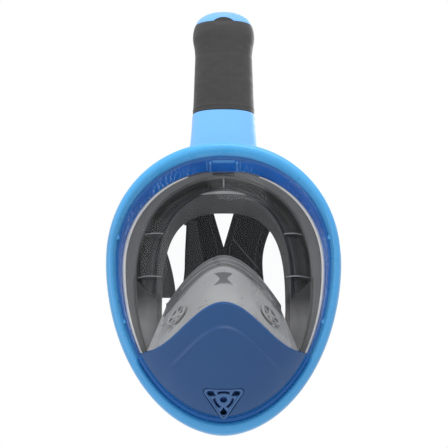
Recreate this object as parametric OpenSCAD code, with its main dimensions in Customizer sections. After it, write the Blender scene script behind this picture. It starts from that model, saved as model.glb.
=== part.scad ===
// Full-face snorkel mask. Millimetres. +Z is up and the mask faces -Y.
// The origin is at the centre of the face opening, on the sealing plane,
// at the level where the frame is widest.

/* [Frame] */
// Half of the frame's greatest width
frame_a = 95; // [92:1:98]
// Height of the frame above its widest level
frame_up = 95.5; // [93:0.5:98]
// Depth of the frame below its widest level
frame_down = 145; // [142:1:148]
// How far the sides curve back around the face
wrap = 12; // [10:1:14]

/* [Lens and chin] */
// How far the lens bulges ahead of its edge
lens_bulge = 52; // [48:1:55]
// Level of the chin cover's peak
chin_peak = -51; // [-54:1:-48]

/* [Snorkel] */
// How far the snorkel leans back from the vertical, in degrees
snorkel_lean = 36; // [33:1:38]
// Rise of the snorkel from its base to its top
snorkel_rise = 222; // [220:1:224]

/* [Head harness] */
// How far behind the sealing plane the harness pad hangs
harness_back = 78; // [72:1:84]
// Width of the webbing
strap_w = 24; // [22:1:25]

/* [Hidden] */

light_blue = [0.36, 0.68, 0.90];
deep_blue = [0.02, 0.33, 0.66, 0.6];
navy = [0.21, 0.34, 0.58];
dark_grey = [0.22, 0.22, 0.23];
skirt_grey = [0.38, 0.38, 0.38];
cup_grey = [0.66, 0.66, 0.65];

up_power = 2.12;         // superellipse powers of the frame's outline
down_power = 1.92;
steps = 72;              // stations round each ring that follows the frame
lens_y = -40;            // depth of the lens edge
lens_edge = 11;          // inset of the lens edge from the outline
lens_t = 2.2;
flange_inset = 9.9;      // outer edge of the bezel's flange and of the skirt's bead
duct_drop = 0.3;           // how much lower the bezel runs under the snorkel
screw_inset = 7.7;
screw_stations = [10, 62, 118, 170, 204, 248, 292, 336];
chin_w = 57;             // half width of the chin line's bell
chin_fall = 31;          // fall of the chin line from its peak to its ends
drain_z = -121;          // level of the drain valve's centre
drain_lean = 42;         // how far the drain faces down from straight ahead
drain_r = 9.5;
grille_r = 14.4;
cup_t = 1.6;
cup_steps = 56;          // stations round the cup
cup_sag = 6;             // how far the cup's upper wall dips between its edges
valve_at = [35.8, -42.3, -51.2];
valve_n = [0.72, -0.5, 0.49];
valve_r = 10;
membrane_t = 0.7;
seal_gap = 0.3;          // rest gap between a membrane and its seat
snorkel_steps = 48;      // stations round each section of the snorkel
snorkel_power = 2.4;
base_z = 86;             // height and depth where the snorkel's axis starts
base_y = -24;
neck_rise = 60;          // from there to the neck's mouth
cap_rise = 196;          // to the top cap's edge
slot_rise = 181;         // to the middle of the intake slots
socket_rise = 22;        // and to the floor of its socket
channel_x = 8.6;         // middle of each wall between the snorkel's channels
wall_t = 1.2;
upper_angle = 38;        // stations of the strap lugs on the outline
lower_angle = -38;
lug_inset = 9;
lug_y = -5.4;
ear_gap = 15;
pin_r = 1.5;
clip_t = 3.4;
clip_len = 22;
arm_gap = 26.4;          // from a lug's pin to the free end of its arm
strap_t = 1.8;
pad_t = 3;

// ---------- outlines ----------
function spow(v, p) = sign(v) * pow(abs(v), p);
function egg(t, a, up, down, p, q) = sin(t) >= 0
  ? [a * spow(cos(t), 2 / p), up * spow(sin(t), 2 / p)]
  : [a * spow(cos(t), 2 / q), down * spow(sin(t), 2 / q)];
// The frame's outline in front view, moved inwards
function rim(t, inset) = egg(t, frame_a - inset, frame_up - inset, frame_down - inset, up_power, down_power);
// Rear edge of the bezel: lower at the brow, where the air duct runs
function bezel_rear(t, inset) = let (e = 12 + inset)
  egg(t, frame_a - e, frame_up - e - duct_drop, frame_down - e, up_power, down_power);
// The face opening, squarer at the brow
function opening(t, grow) = egg(t, 51 + grow, 79.6 + grow, 82 + grow, 2.9, 2.1) - [0, 30];
function curve_back(x) = wrap * pow(x / frame_a, 2);
function at(p, y) = [p[0], y + curve_back(p[0]), p[1]];
function mix(p, q, s) = p * (1 - s) + q * s;
function unit(v) = v / norm(v);
function reversed(v) = [for (i = [len(v) - 1:-1:0]) v[i]];
function round_steps(n) = [for (i = [0:n - 1]) i * 360 / n];

// Depth of the lens surface at x, z. A positive skin lies behind it, a negative one ahead.
function rho(x, z, inset) = let (up = z >= 0, n = up ? up_power : down_power)
  pow(pow(abs(x) / (frame_a - inset), n) + pow(abs(z) / ((up ? frame_up : frame_down) - inset), n), 1 / n);
function dome_y(x, z, skin) = lens_y + curve_back(x)
  - (lens_bulge - skin) * sqrt(max(0, 1 - pow(rho(x, z, lens_edge + skin), 2.6)));
function on_dome(p, skin) = [p[0], dome_y(p[0], p[1], skin), p[1]];

// The chin line, where the clear lens ends and the chin cover starts
function chin_z(x) = chin_peak - chin_fall * (1 - cos(180 * min(1, abs(x) / chin_w))) / 2;
chin_t = asin(pow((chin_fall - chin_peak) / (frame_down - lens_edge), down_power / 2));
degree_z = 1.9;          // fall of the outline per degree near the chin line
function arc_points(t0, t1, n, inset) = [for (i = [0:n]) rim(t0 + (t1 - t0) * i / n, inset)];
function chin_points(half, n, drop) = [for (i = [1:n - 1])
  let (x = half * (1 - 2 * i / n)) [x, chin_z(x) - drop]];
function upper_outline(inset, drop) = let (t = chin_t + drop / degree_z)
  concat(arc_points(-t, 180 + t, 46, inset), chin_points(-rim(-t, inset)[0], 22, drop));
function lower_outline(inset, drop) = let (t = chin_t + drop / degree_z)
  concat(arc_points(180 + t, 360 - t, 34, inset), chin_points(rim(-t, inset)[0], 22, drop));
lens_hub = [0, 12];
chin_hub = [0, -98];
dome_levels = [0.25, 0.46, 0.64, 0.78, 0.88, 0.95, 0.987, 1];

// ---------- sweeps ----------
// Rings of points joined in order; the last ring joins the first
module ring_sweep(rings) {
  m = len(rings);
  n = len(rings[0]);
  polyhedron(
    points = [for (r = rings) for (p = r) p],
    faces = [for (j = [0:m - 1]) for (i = [0:n - 1])
      let (k = (i + 1) % n, a = j * n, b = ((j + 1) % m) * n)
      each [[a + i, a + k, b + k], [a + i, b + k, b + i]]]);
}
// Rings of points closed by a pole at each end
module pole_sweep(first, rings, last) {
  m = len(rings);
  n = len(rings[0]);
  polyhedron(
    points = concat([first], [for (r = rings) for (p = r) p], [last]),
    faces = concat(
      [for (i = [0:n - 1]) [0, 1 + (i + 1) % n, 1 + i]],
      [for (j = [0:m - 2]) for (i = [0:n - 1])
        let (k = (i + 1) % n, a = 1 + j * n, b = a + n) each [[a + i, a + k, b + k], [a + i, b + k, b + i]]],
      [for (i = [0:n - 1]) let (a = 1 + (m - 1) * n) [1 + m * n, a + i, a + (i + 1) % n]]));
}
// A ring that follows the frame, from profile points [inset, depth]
module frame_sweep(profile) {
  ring_sweep([for (q = reversed(profile)) [for (t = round_steps(steps)) at(rim(t, q[0]), q[1])]]);
}
// A shell of the lens dome inside an outline, between two skins
module dome_shell(outer, inner, hub, skin_out, skin_in) {
  pole_sweep(on_dome(hub, skin_out), concat(
    [for (k = dome_levels) [for (p = outer) on_dome(mix(hub, p, k), skin_out)]],
    [for (k = reversed(dome_levels)) [for (p = inner) on_dome(mix(hub, p, k), skin_in)]]),
    on_dome(hub, skin_in));
}

// ---------- frame ----------
module at_rim(t, inset, y) {
  translate(at(rim(t, inset), y)) rotate([90, 0, 0]) children();
}
module frame_ring() color(light_blue) difference() {
  frame_sweep([[4.2, -16], [3, -23], [1.8, -31], [0.6, -38], [0, -43.6], [0.9, -47], [3, -49.2], [6, -49.8],
    [8.4, -48], [10, -45], [10.6, -41.6], [9.6, -41.4], [8.3, -44.6], [6, -46.8], [3.8, -45.4], [3, -41],
    [4.3, -31], [5, -23], [5.6, -16]]);
  // the air passage up into the neck
  translate([0, -29, frame_up]) linear_extrude(12, center = true) square([34, 10], center = true);
}
module frame_rear_ring() color(light_blue) difference() {
  frame_sweep([[4.2, -15.7], [5.6, -15.7], [5.8, -13.4], [13.4, -13.4], [13.4, -10.8], [5.8, -10.8], [4.6, -12]]);
  for (t = screw_stations) at_rim(t, screw_inset, -12) cylinder(h = 12, r = 1.7, center = true, $fn = 32);
}
module screw_bosses() color(light_blue) for (t = screw_stations) at_rim(t, screw_inset, -14.2) difference() {
  cylinder(h = 31.6, r = 2, $fn = 32);
  translate([0, 0, -1]) cylinder(h = 13, r = 1.2, $fn = 32);
}
module frame_screws() color("silver") for (t = screw_stations) at_rim(t, screw_inset, -9.9) difference() {
  union() {
    cylinder(h = 14.8, r = 1.15, $fn = 32);
    translate([0, 0, -1.5]) cylinder(h = 1.5, r = 2.6, $fn = 32);
  }
  // cross slot
  for (turn = [0, 90]) rotate(turn) translate([0, 0, -2])
    linear_extrude(1.3) square([0.8, 3.2], center = true);
}

// ---------- lens ----------
module lens_bezel() color(deep_blue) {
  front = lens_edge + 0.2;
  wall = 1.8;
  around = round_steps(steps);
  ring_sweep([
    [for (t = around) at(rim(t, front), lens_y - 0.2)],
    [for (t = around) at(mix(rim(t, front), bezel_rear(t, 0), 0.9), -18.6)],
    [for (t = around) at(rim(t, flange_inset), -18.6)],
    [for (t = around) at(rim(t, flange_inset), -17)],
    [for (t = around) at(bezel_rear(t, wall), -17)],
    [for (t = around) at(rim(t, front + wall), lens_y + 1.4)]]);
}
module lens() color([0.85, 0.93, 1, 0.25])
  dome_shell(upper_outline(lens_edge, -0.4), upper_outline(lens_edge + lens_t, -0.4), lens_hub, 0, lens_t);
// Two walls part the air duct at the brow into one way in and two ways out
module air_duct_walls() color(deep_blue) for (x = [-11, 11]) translate([x, 0, 0]) rotate([90, 0, 90])
  linear_extrude(1.6, center = true) polygon([[-37, 83.2], [-20, 80.6], [-20, 89.2], [-37, 91]]);

// ---------- chin ----------
module on_chin() {
  translate(on_dome([0, drain_z], 0)) rotate([90 + drain_lean, 0, 0]) children();
}
module grille_outline(grow) {
  offset(r = 2.4 + grow, $fn = 24)
    polygon([for (k = [0:2]) grille_r * [sin(60 + 120 * k), cos(60 + 120 * k)]]);
}
module chin_housing() color(navy) difference() {
  dome_shell(lower_outline(lens_edge + 3.3, -0.5), lower_outline(lens_edge + 5.2, -0.5), chin_hub, 3.3, 5.2);
  on_chin() cylinder(h = 24, r = drain_r - 0.3, center = true, $fn = 48);
}
// The cover's lower edge is a wall that drops to the frame's lip
function cover_edge(inset, drop, y, skin) = let (t = chin_t + drop / degree_z, half = rim(-t, inset)[0])
  concat([for (p = arc_points(180 + t, 360 - t, 34, inset)) at(p, y)],
    [for (p = chin_points(half, 22, drop)) on_dome(p, skin)]);
module chin_cover() color(navy) difference() {
  outer = lower_outline(lens_edge, 0.4);
  inner = lower_outline(lens_edge + 1.8, 1.2);
  pole_sweep(on_dome(chin_hub, -2.4), concat(
    [for (k = dome_levels) [for (p = outer) on_dome(mix(chin_hub, p, k), -2.4)]],
    [cover_edge(lens_edge, 0.4, lens_y - 3.4, -1.6), cover_edge(lens_edge + 1.8, 0.7, lens_y - 3.4, -0.9)],
    [for (k = reversed(dome_levels)) [for (p = inner) on_dome(mix(chin_hub, p, k), -0.4)]]),
    on_dome(chin_hub, -0.4));
  on_chin() translate([0, 0, -8]) linear_extrude(26) grille_outline(0.3);
}
module drain_grille() color(navy) on_chin() translate([0, 0, -0.9]) linear_extrude(1.8) difference() {
  grille_outline(0);
  circle(r = 2.4, $fn = 32);
  for (k = [0:2]) rotate(120 * k) {
    translate([0, -10.6]) circle(r = 2.3, $fn = 32);
    translate([0, 5.6]) square([11, 1.9], center = true);
  }
}
module drain_valve_seat() color(skirt_grey) on_chin() translate([0, 0, -6.2]) difference() {
  cylinder(h = 2.4, r = drain_r, $fn = 48);
  translate([0, 0, -1]) cylinder(h = 5, r = 1.4, $fn = 32);
  for (k = [0:5]) rotate(60 * k) translate([5.1, 0, -1]) cylinder(h = 5, r = 1.9, $fn = 32);
}
module drain_membrane() color(cup_grey) on_chin() {
  translate([0, 0, -3.8 + seal_gap]) cylinder(h = membrane_t, r = 7.8, $fn = 48);
  translate([0, 0, -6.6]) cylinder(h = 3.4, r = 1.3, $fn = 32);
}

// ---------- silicone face skirt ----------
module face_skirt() color(skirt_grey) {
  around = round_steps(steps);
  // rows from the bezel (0) to the face opening (1), then folded back outwards as the sealing lip
  rows = [[0, -16.7], [0.12, -17.5], [0.25, -14], [0.34, -8], [0.6, -6], [0.72, -9], [0.86, -5],
    [0.97, -1.6], [1, 0.6], [0.96, 2.2], [0.72, 5], [0.45, 8], [0.4, 6.8], [0.68, 3], [0.86, -1],
    [0.72, -6.4], [0.62, -3.6], [0.32, -5.4], [0.22, -11.6], [0.1, -13.8]];
  ring_sweep(reversed(concat(
    [[for (t = around) at(rim(t, flange_inset), -16.7)]],
    [for (q = rows) [for (t = around) at(mix(bezel_rear(t, 1), opening(t, 0), q[0]), q[1])]],
    [[for (t = around) at(rim(t, flange_inset), -13.8)]])));
}

// ---------- orinasal cup ----------
// The lip rests on the face: an arch over the nose, then the jaw down to the chin
function lip_arch(x) = [x, -22 + 18 * pow(abs(x) / 46, 1.5), 7.5 - 0.0293 * pow(abs(x), 1.86)];
function lip_jaw(t) = let (p = opening(t, -5)) [p[0], -4 + 4 * sin(t), p[1]];
function cup_lip(u) = u < 0.5 ? lip_arch(46 * (1 - 4 * u)) : lip_jaw(360 * u);
// The front edge lies just behind the chin line and the chin housing
function cup_front(u) = let (x = 57 * (1 - 4 * u), jaw = 40.5,
  p = u < 0.5 ? [x, chin_z(x) - 4.5] : rim(180 + jaw + (2 * u - 1) * (180 - 2 * jaw), 19)) on_dome(p, 6.3);
cup_axis = [0, -58];
function cup_point(u, s, inset) = let (p = mix(cup_lip(u), cup_front(u), s),
  q = p - [0, 0, u < 0.5 ? cup_sag * sin(180 * s) * sin(360 * u) : 0],
  inwards = unit([cup_axis[0] - q[0], 0, cup_axis[1] - q[2]])) q + inset * inwards;
module orinasal_cup() color(cup_grey) difference() {
  levels = [0, 0.2, 0.4, 0.6, 0.8, 1];
  ring_sweep(concat(
    [for (s = levels) [for (i = [0:cup_steps - 1]) cup_point(i / cup_steps, s, cup_t)]],
    [for (s = reversed(levels)) [for (i = [0:cup_steps - 1]) cup_point(i / cup_steps, s, 0)]]));
  for (m = [0, 1]) mirror([m, 0, 0]) on_valve() cylinder(h = 20, r = valve_r - 0.3, center = true, $fn = 48);
}
module on_valve() {
  n = unit(valve_n);
  translate(valve_at) rotate([0, acos(n[2]), atan2(n[1], n[0])]) children();
}
module inhale_seat() color(cup_grey) on_valve() translate([0, 0, -2]) difference() {
  cylinder(h = 4.4, r = valve_r, $fn = 48);
  translate([0, 0, -1]) cylinder(h = 7, r = 1.3, $fn = 32);
  for (k = [0:5]) rotate(60 * k) translate([0, 0, -1]) linear_extrude(7)
    polygon([[2.8, 0], [7.8, 3.2], [8.4, 0], [7.8, -3.2]]);
}
module inhale_membrane() color(skirt_grey) on_valve() translate([0, 0, -2 - seal_gap - membrane_t]) {
  cylinder(h = membrane_t, r = 8.8, $fn = 48);
  cylinder(h = 5.4, r = 1.2, $fn = 32);
}
module inhale_seat_left() mirror([1, 0, 0]) inhale_seat();
module inhale_seat_right() inhale_seat();
module inhale_membrane_left() mirror([1, 0, 0]) inhale_membrane();
module inhale_membrane_right() inhale_membrane();

// ---------- snorkel ----------
// Every section is a level oval, and the ovals climb along the leaning axis
function axis_y(rise) = base_y + rise * tan(snorkel_lean);
function oval(w, d, rise) = [for (t = round_steps(snorkel_steps))
  [w * spow(cos(t), 2 / snorkel_power), axis_y(rise) + d * spow(sin(t), 2 / snorkel_power), base_z + rise]];
function ovals(profile) = [for (q = profile) oval(q[0], q[1], q[2])];
function on_axis(rise) = [0, axis_y(rise), base_z + rise];
// Foot of the neck, seated in the frame's curved top
function foot(w, d) = [for (t = round_steps(snorkel_steps))
  let (x = w * spow(cos(t), 2 / snorkel_power), y = -27.5 + d * spow(sin(t), 2 / snorkel_power))
  [x, y, frame_up * pow(1 - pow(abs(x) / frame_a, up_power), 1 / up_power) - 2.1 - 0.165 * (y + 31)]];
module snorkel_neck() color(light_blue) ring_sweep(concat([foot(18.6, 6)],
  ovals([[20.5, 9.4, socket_rise], [24.7, 13.4, socket_rise], [24.7, 13.4, neck_rise], [27.3, 16, neck_rise],
    [27.5, 16, 45], [28, 16.2, 30], [28.6, 16.4, 18]]), [foot(29.8, 9.5)]));
module neck_gasket() color(cup_grey) ring_sweep(ovals([[24.4, 13.1, socket_rise + 0.2],
  [20.8, 9.7, socket_rise + 0.2], [20.8, 9.7, socket_rise + 1.8], [24.4, 13.1, socket_rise + 1.8]]));
module snorkel_tube() color(dark_grey) difference() {
  ring_sweep(reversed(ovals([[24.3, 13, 24.1], [24.3, 13, 60.3], [27.3, 16, 60.3], [26.8, 15.6, 100],
    [26.8, 15.5, 144], [27.3, 15.8, 156], [28.7, 16.8, 167], [29.7, 17.6, 179], [29.1, 17.1, 189],
    [27.6, 15.8, cap_rise], [25.6, 13.8, cap_rise], [27, 15, 187], [27.2, 15.2, 179], [27, 15, 170],
    [24.6, 13.2, 152], [24.4, 13, 66], [22, 10.7, 60.3], [22, 10.7, 24.1]])));
  // intake slots in the back of the head
  for (x = [-12, 0, 12]) translate([x, axis_y(slot_rise) + 18, base_z + slot_rise])
    linear_extrude(9, center = true) square([7, 16], center = true);
}
// A plate seen from the side, centred on x = 0, from corners [depth from the axis, rise]
module side_plate(width, corners) {
  rotate([90, 0, 90]) linear_extrude(width, center = true)
    polygon([for (q = corners) [axis_y(q[1]) + q[0], base_z + q[1]]]);
}
module channel_dividers() color(dark_grey) for (x = [-channel_x, channel_x]) translate([x, 0, 0])
  side_plate(wall_t, [[-10.6, 24.4], [10.6, 24.4], [10.6, 61], [12.8, 66.5], [12.9, 151], [14.6, 170.6],
    [-14.6, 170.6], [-12.9, 151], [-12.8, 66.5], [-10.6, 61]]);
module intake_seat() color(dark_grey)
  ring_sweep(ovals([[27.3, 15.3, 173], [27.3, 15.3, 171], [5.6, 8, 171], [5.6, 8, 173]]));
// Two bars that carry the float while it rests
module float_stop() color(dark_grey) for (y = [-8, 8])
  side_plate(2 * channel_x - wall_t,
    [[y - 1.2, 146.6], [y + 1.2, 146.6], [y + 1.2, 148.8], [y - 1.2, 148.8]]);
module float() color("orange") pole_sweep(on_axis(160.2),
  ovals([[5.4, 9, 160.2], [6.4, 10, 159], [6.4, 10, 150.4], [5.4, 9, 149.2]]), on_axis(149.2));
module float_seal() color(cup_grey) pole_sweep(on_axis(162),
  ovals([[6.8, 9.4, 162], [7.2, 10.2, 161], [6.8, 9.4, 160.4]]), on_axis(160.4));
// Outline of a side channel, drawn about its own middle
side_mid = [16.4, 0];
function side_outline() = let (w = 25.7, d = 14.3, e = 2 / snorkel_power, x0 = channel_x + 0.8,
  t0 = acos(pow(x0 / w, 1 / e)), y0 = d * pow(sin(t0), e))
  concat([for (i = [0:23]) let (t = t0 - 2 * t0 * i / 23) [w * spow(cos(t), e), d * spow(sin(t), e)]],
    [for (i = [1:11]) [x0, y0 * (i / 6 - 1)]]);
function side_ring(grow, rise) = [for (p = side_outline()) let (q = mix(side_mid, p, grow))
  [-q[0], axis_y(rise) + q[1], base_z + rise]];
module exhaust_seat_left() color(dark_grey)
  ring_sweep([side_ring(1, 160), side_ring(1, 158), side_ring(0.6, 158), side_ring(0.6, 160)]);
module exhaust_flap_left() color(cup_grey) pole_sweep([-side_mid[0], axis_y(161.1), base_z + 161.1],
  [side_ring(0.82, 161.1), side_ring(0.82, 160.3)], [-side_mid[0], axis_y(160.3), base_z + 160.3]);
module exhaust_seat_right() mirror([1, 0, 0]) exhaust_seat_left();
module exhaust_flap_right() mirror([1, 0, 0]) exhaust_flap_left();
module top_cap() color(light_blue) pole_sweep(on_axis(snorkel_rise),
  ovals(concat([for (k = [80, 66, 52, 38, 24, 12, 0]) [27.4 * pow(cos(k), 1.25), 15.6 * pow(cos(k), 1.25),
    cap_rise + 0.1 + (snorkel_rise - cap_rise) * sin(k)]],
    [[25.7, 13.9, cap_rise + 0.1], [25.7, 13.9, cap_rise - 7], [23.7, 12, cap_rise - 7],
    [23.7, 12, cap_rise + 1], [19.5, 9.6, snorkel_rise - 12], [13.5, 7, snorkel_rise - 7.5],
    [6.5, 3.2, snorkel_rise - 4.4]])),
  on_axis(snorkel_rise - 2.4));

// ---------- strap hardware ----------
// A lug's frame: local x points out of the outline, y to the back and z along the outline
function out_angle(t) = let (p = rim(t, lug_inset), up = sin(t) >= 0, n = up ? up_power : down_power,
  b = up ? frame_up : frame_down) atan2(spow(p[1] / b, n - 1) / b, spow(p[0] / frame_a, n - 1) / frame_a);
module at_lug(t) {
  translate(at(rim(t, lug_inset), lug_y)) rotate([0, -out_angle(t), 0]) children();
}
module four_corners() {
  for (m = [0, 1]) mirror([m, 0, 0]) for (t = [upper_angle, lower_angle]) at_lug(t) children();
}
module ear() difference() {
  union() {
    cylinder(h = 3, r = 3.3, center = true, $fn = 40);
    translate([0, -3.1, 0]) linear_extrude(3, center = true) square([6.6, 6.2], center = true);
  }
  cylinder(h = 5, r = pin_r + 0.05, center = true, $fn = 40);
}
module strap_lugs() color(light_blue) four_corners()
  for (s = [-1, 1]) translate([0, 0, s * (ear_gap / 2 + 1.6)]) ear();
module lug_pins() color("silver") four_corners()
  cylinder(h = ear_gap + 6.4, r = pin_r, center = true, $fn = 40);
module clip() color(dark_grey) difference() {
  union() {
    cylinder(h = ear_gap - 0.6, r = 3.1, center = true, $fn = 40);
    translate([0, 7.5, 0]) linear_extrude(ear_gap - 0.6, center = true) square([clip_t, 12], center = true);
    translate([0, clip_len - 5, 0])
      linear_extrude(strap_w + 7, center = true) square([clip_t, 12], center = true);
  }
  cylinder(h = ear_gap + 2, r = pin_r + 0.06, center = true, $fn = 40);
  for (y = [clip_len - 8, clip_len - 2.6]) translate([0, y, 0])
    linear_extrude(strap_w + 1.6, center = true) square([5, 2.8], center = true);
}
// The end of the webbing, folded through the clip's rear slot and round its rear bar
module strap_loop() color(dark_grey) translate([0, clip_len - 0.2, 0]) difference() {
  linear_extrude(strap_w, center = true) square([7.4, 6.6], center = true);
  translate([0, 0.1, 0])
    linear_extrude(strap_w + 2, center = true) square([clip_t + 0.6, 3.4], center = true);
}
module clip_upper_left() mirror([1, 0, 0]) at_lug(upper_angle) clip();
module clip_upper_right() at_lug(upper_angle) clip();
module clip_lower_left() mirror([1, 0, 0]) at_lug(lower_angle) clip();
module clip_lower_right() at_lug(lower_angle) clip();
module loop_upper_left() mirror([1, 0, 0]) at_lug(upper_angle) strap_loop();
module loop_upper_right() at_lug(upper_angle) strap_loop();
module loop_lower_left() mirror([1, 0, 0]) at_lug(lower_angle) strap_loop();
module loop_lower_right() at_lug(lower_angle) strap_loop();

// ---------- head harness ----------
function bezier(p, s) = let (r = 1 - s)
  pow(r, 3) * p[0] + 3 * s * pow(r, 2) * p[1] + 3 * pow(s, 2) * r * p[2] + pow(s, 3) * p[3];
// A ribbon's frame at s, from its route and the width directions at its ends: across, up, along, centre
function ribbon_frame(p, w0, w1, s) = let (ds = 0.01,
  t = unit(bezier(p, min(1, s + ds)) - bezier(p, max(0, s - ds))), w = mix(w0, w1, s),
  side = unit(w - (w * t) * t)) [side, cross(t, side), t, bezier(p, s)];
function ribbon_ring(p, w0, w1, wide, thick, s) = let (f = ribbon_frame(p, w0, w1, s), w = f[0] * wide / 2,
  h = f[1] * thick / 2) [f[3] - w - h, f[3] + w - h, f[3] + w + h, f[3] - w + h];
module ribbon(p, w0, w1, wide, thick, n) {
  rings = [for (i = [0:n]) ribbon_ring(p, w0, w1, wide, thick, i / n)];
  polyhedron(points = [for (r = rings) for (q = r) q],
    faces = concat([[0, 1, 2], [0, 2, 3]], [for (j = [0:n - 1]) for (i = [0:3])
      let (k = (i + 1) % 4, a = 4 * j, b = a + 4) each [[a + i, b + i, b + k], [a + i, b + k, a + k]]],
      [[4 * n, 4 * n + 3, 4 * n + 2], [4 * n, 4 * n + 2, 4 * n + 1]]));
}
// Edges of one half of the pad: they part above and below its waist
function pad_inner(z) = -0.5 + 0.3 * max(0, z - 42, -6 - z);
function pad_outer(z) = 34 + 8.4 * pow(min(31, max(0, z - 28)) / 32, 2) + 1.2 * pow(max(0, 28 - z) / 18, 2);
function pad_y(x, z) = harness_back - 8 * pow(x / 45, 2) - 9 * pow((z - 24) / 54, 2);
pad_levels = [74, 68, 60, 52, 43, 33, 22, 12, 2, -6, -14, -22, -30];
pad_columns = [0, 0.25, 0.5, 0.75, 1];
function pad_row(z, y) = [for (k = pad_columns)
  let (x = pad_inner(z) + (pad_outer(z) - pad_inner(z)) * k) [x, pad_y(x, z) + y, z]];
module half_pad() {
  n = len(pad_columns);
  m = len(pad_levels);
  size = 2 * n;
  last = size * (m - 1);
  rings = [for (z = pad_levels) concat(pad_row(z, pad_t), reversed(pad_row(z, 0)))];
  polyhedron(points = [for (r = rings) for (q = r) q],
    faces = concat([for (i = [0:n - 2]) each [[i, i + 1, size - 2 - i], [i, size - 2 - i, size - 1 - i]]],
      [for (j = [0:m - 2]) for (i = [0:size - 1]) let (k = (i + 1) % size, a = size * j, b = a + size)
        each [[a + i, b + i, b + k], [a + i, b + k, a + k]]],
      [for (i = [0:n - 2]) each [[last + i, last + size - 1 - i, last + size - 2 - i],
        [last + i, last + size - 2 - i, last + i + 1]]]));
}
module harness_pad() color(dark_grey) for (m = [0, 1]) mirror([m, 0, 0]) half_pad();
function arm_end(t) = at(rim(t, lug_inset), lug_y) + [0, arm_gap, 0];
function along(t) = [-sin(out_angle(t)), 0, cos(out_angle(t))];
function arm_root(x, z) = [x, pad_y(x, z) + pad_t + 0.8 + strap_t / 2, z];
// Route of an arm and the width directions at its ends
upper_arm = let (r = arm_root(24, 66), e = arm_end(upper_angle))
  [[r, r + [10, 0, 42], e + [0, 54, 0], e], [-1, 0.23, 0.2], along(upper_angle)];
lower_arm = let (r = arm_root(27, -20), e = arm_end(lower_angle))
  [[r, r + [10, -9, -42], e + [0, 46, 0], e], [1, -0.22, 0.25], along(lower_angle)];
module arm(route) color(dark_grey) ribbon(route[0], route[1], route[2], strap_w, strap_t, 18);
module arm_upper_right() arm(upper_arm);
module arm_upper_left() mirror([1, 0, 0]) arm(upper_arm);
module arm_lower_right() arm(lower_arm);
module arm_lower_left() mirror([1, 0, 0]) arm(lower_arm);
// A keeper is a sleeve round the webbing, close behind each clip
module keeper(route) {
  f = ribbon_frame(route[0], route[1], route[2], 0.9);
  multmatrix([for (i = [0:2]) [for (j = [0:3]) f[j][i]]]) linear_extrude(8, center = true) difference() {
    square([strap_w + 5, 6.6], center = true);
    square([strap_w + 2, 3.8], center = true);
  }
}
module strap_keepers() color(dark_grey)
  for (m = [0, 1]) mirror([m, 0, 0]) for (route = [upper_arm, lower_arm]) keeper(route);
// The spare end of the upper left strap hangs down beside the cheek
module strap_tail() color(dark_grey) ribbon([[-66, 36, 38], [-60, 42, 24], [-54, 38, 6], [-52.5, 33, -15]],
  [1, 0.1, 0.15], [0.93, 0.05, -0.42], strap_w, strap_t, 10);

frame_ring();
frame_rear_ring();
screw_bosses();
frame_screws();
lens_bezel();
lens();
air_duct_walls();
chin_housing();
chin_cover();
drain_grille();
drain_valve_seat();
drain_membrane();
face_skirt();
orinasal_cup();
inhale_seat_left();
inhale_seat_right();
inhale_membrane_left();
inhale_membrane_right();
snorkel_neck();
neck_gasket();
snorkel_tube();
channel_dividers();
intake_seat();
float_stop();
float();
float_seal();
exhaust_seat_left();
exhaust_seat_right();
exhaust_flap_left();
exhaust_flap_right();
top_cap();
strap_lugs();
lug_pins();
clip_upper_left();
clip_upper_right();
clip_lower_left();
clip_lower_right();
loop_upper_left();
loop_upper_right();
loop_lower_left();
loop_lower_right();
harness_pad();
arm_upper_left();
arm_upper_right();
arm_lower_left();
arm_lower_right();
strap_keepers();
strap_tail();
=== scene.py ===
"""Looks of the full-face snorkel mask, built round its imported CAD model.

Shapes are worked out in millimetres in the row frame and are scaled to metres where a mesh is made. Their
outlines are the CAD model's, except that the front of the frame and the lens are narrower at the sides.
+Z is up, the mask faces -Y, and the origin is the centre of the face seal.
"""
import math

import bmesh
import bpy
import numpy as np
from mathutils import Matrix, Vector


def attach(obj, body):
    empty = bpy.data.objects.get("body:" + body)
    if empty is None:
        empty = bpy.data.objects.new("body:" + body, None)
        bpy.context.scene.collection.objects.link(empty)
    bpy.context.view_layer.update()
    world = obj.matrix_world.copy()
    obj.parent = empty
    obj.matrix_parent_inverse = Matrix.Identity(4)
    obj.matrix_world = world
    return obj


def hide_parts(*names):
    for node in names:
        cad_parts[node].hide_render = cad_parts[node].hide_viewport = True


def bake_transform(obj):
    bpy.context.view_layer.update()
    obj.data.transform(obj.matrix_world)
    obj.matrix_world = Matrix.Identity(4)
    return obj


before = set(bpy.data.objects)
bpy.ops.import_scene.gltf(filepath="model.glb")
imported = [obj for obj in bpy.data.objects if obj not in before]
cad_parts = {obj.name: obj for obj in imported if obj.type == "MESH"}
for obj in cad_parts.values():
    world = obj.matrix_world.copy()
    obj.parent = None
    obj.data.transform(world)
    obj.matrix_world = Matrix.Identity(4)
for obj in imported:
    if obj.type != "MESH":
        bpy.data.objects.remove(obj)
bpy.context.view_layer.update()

MM = 0.001
TAU = 2 * math.pi

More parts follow.
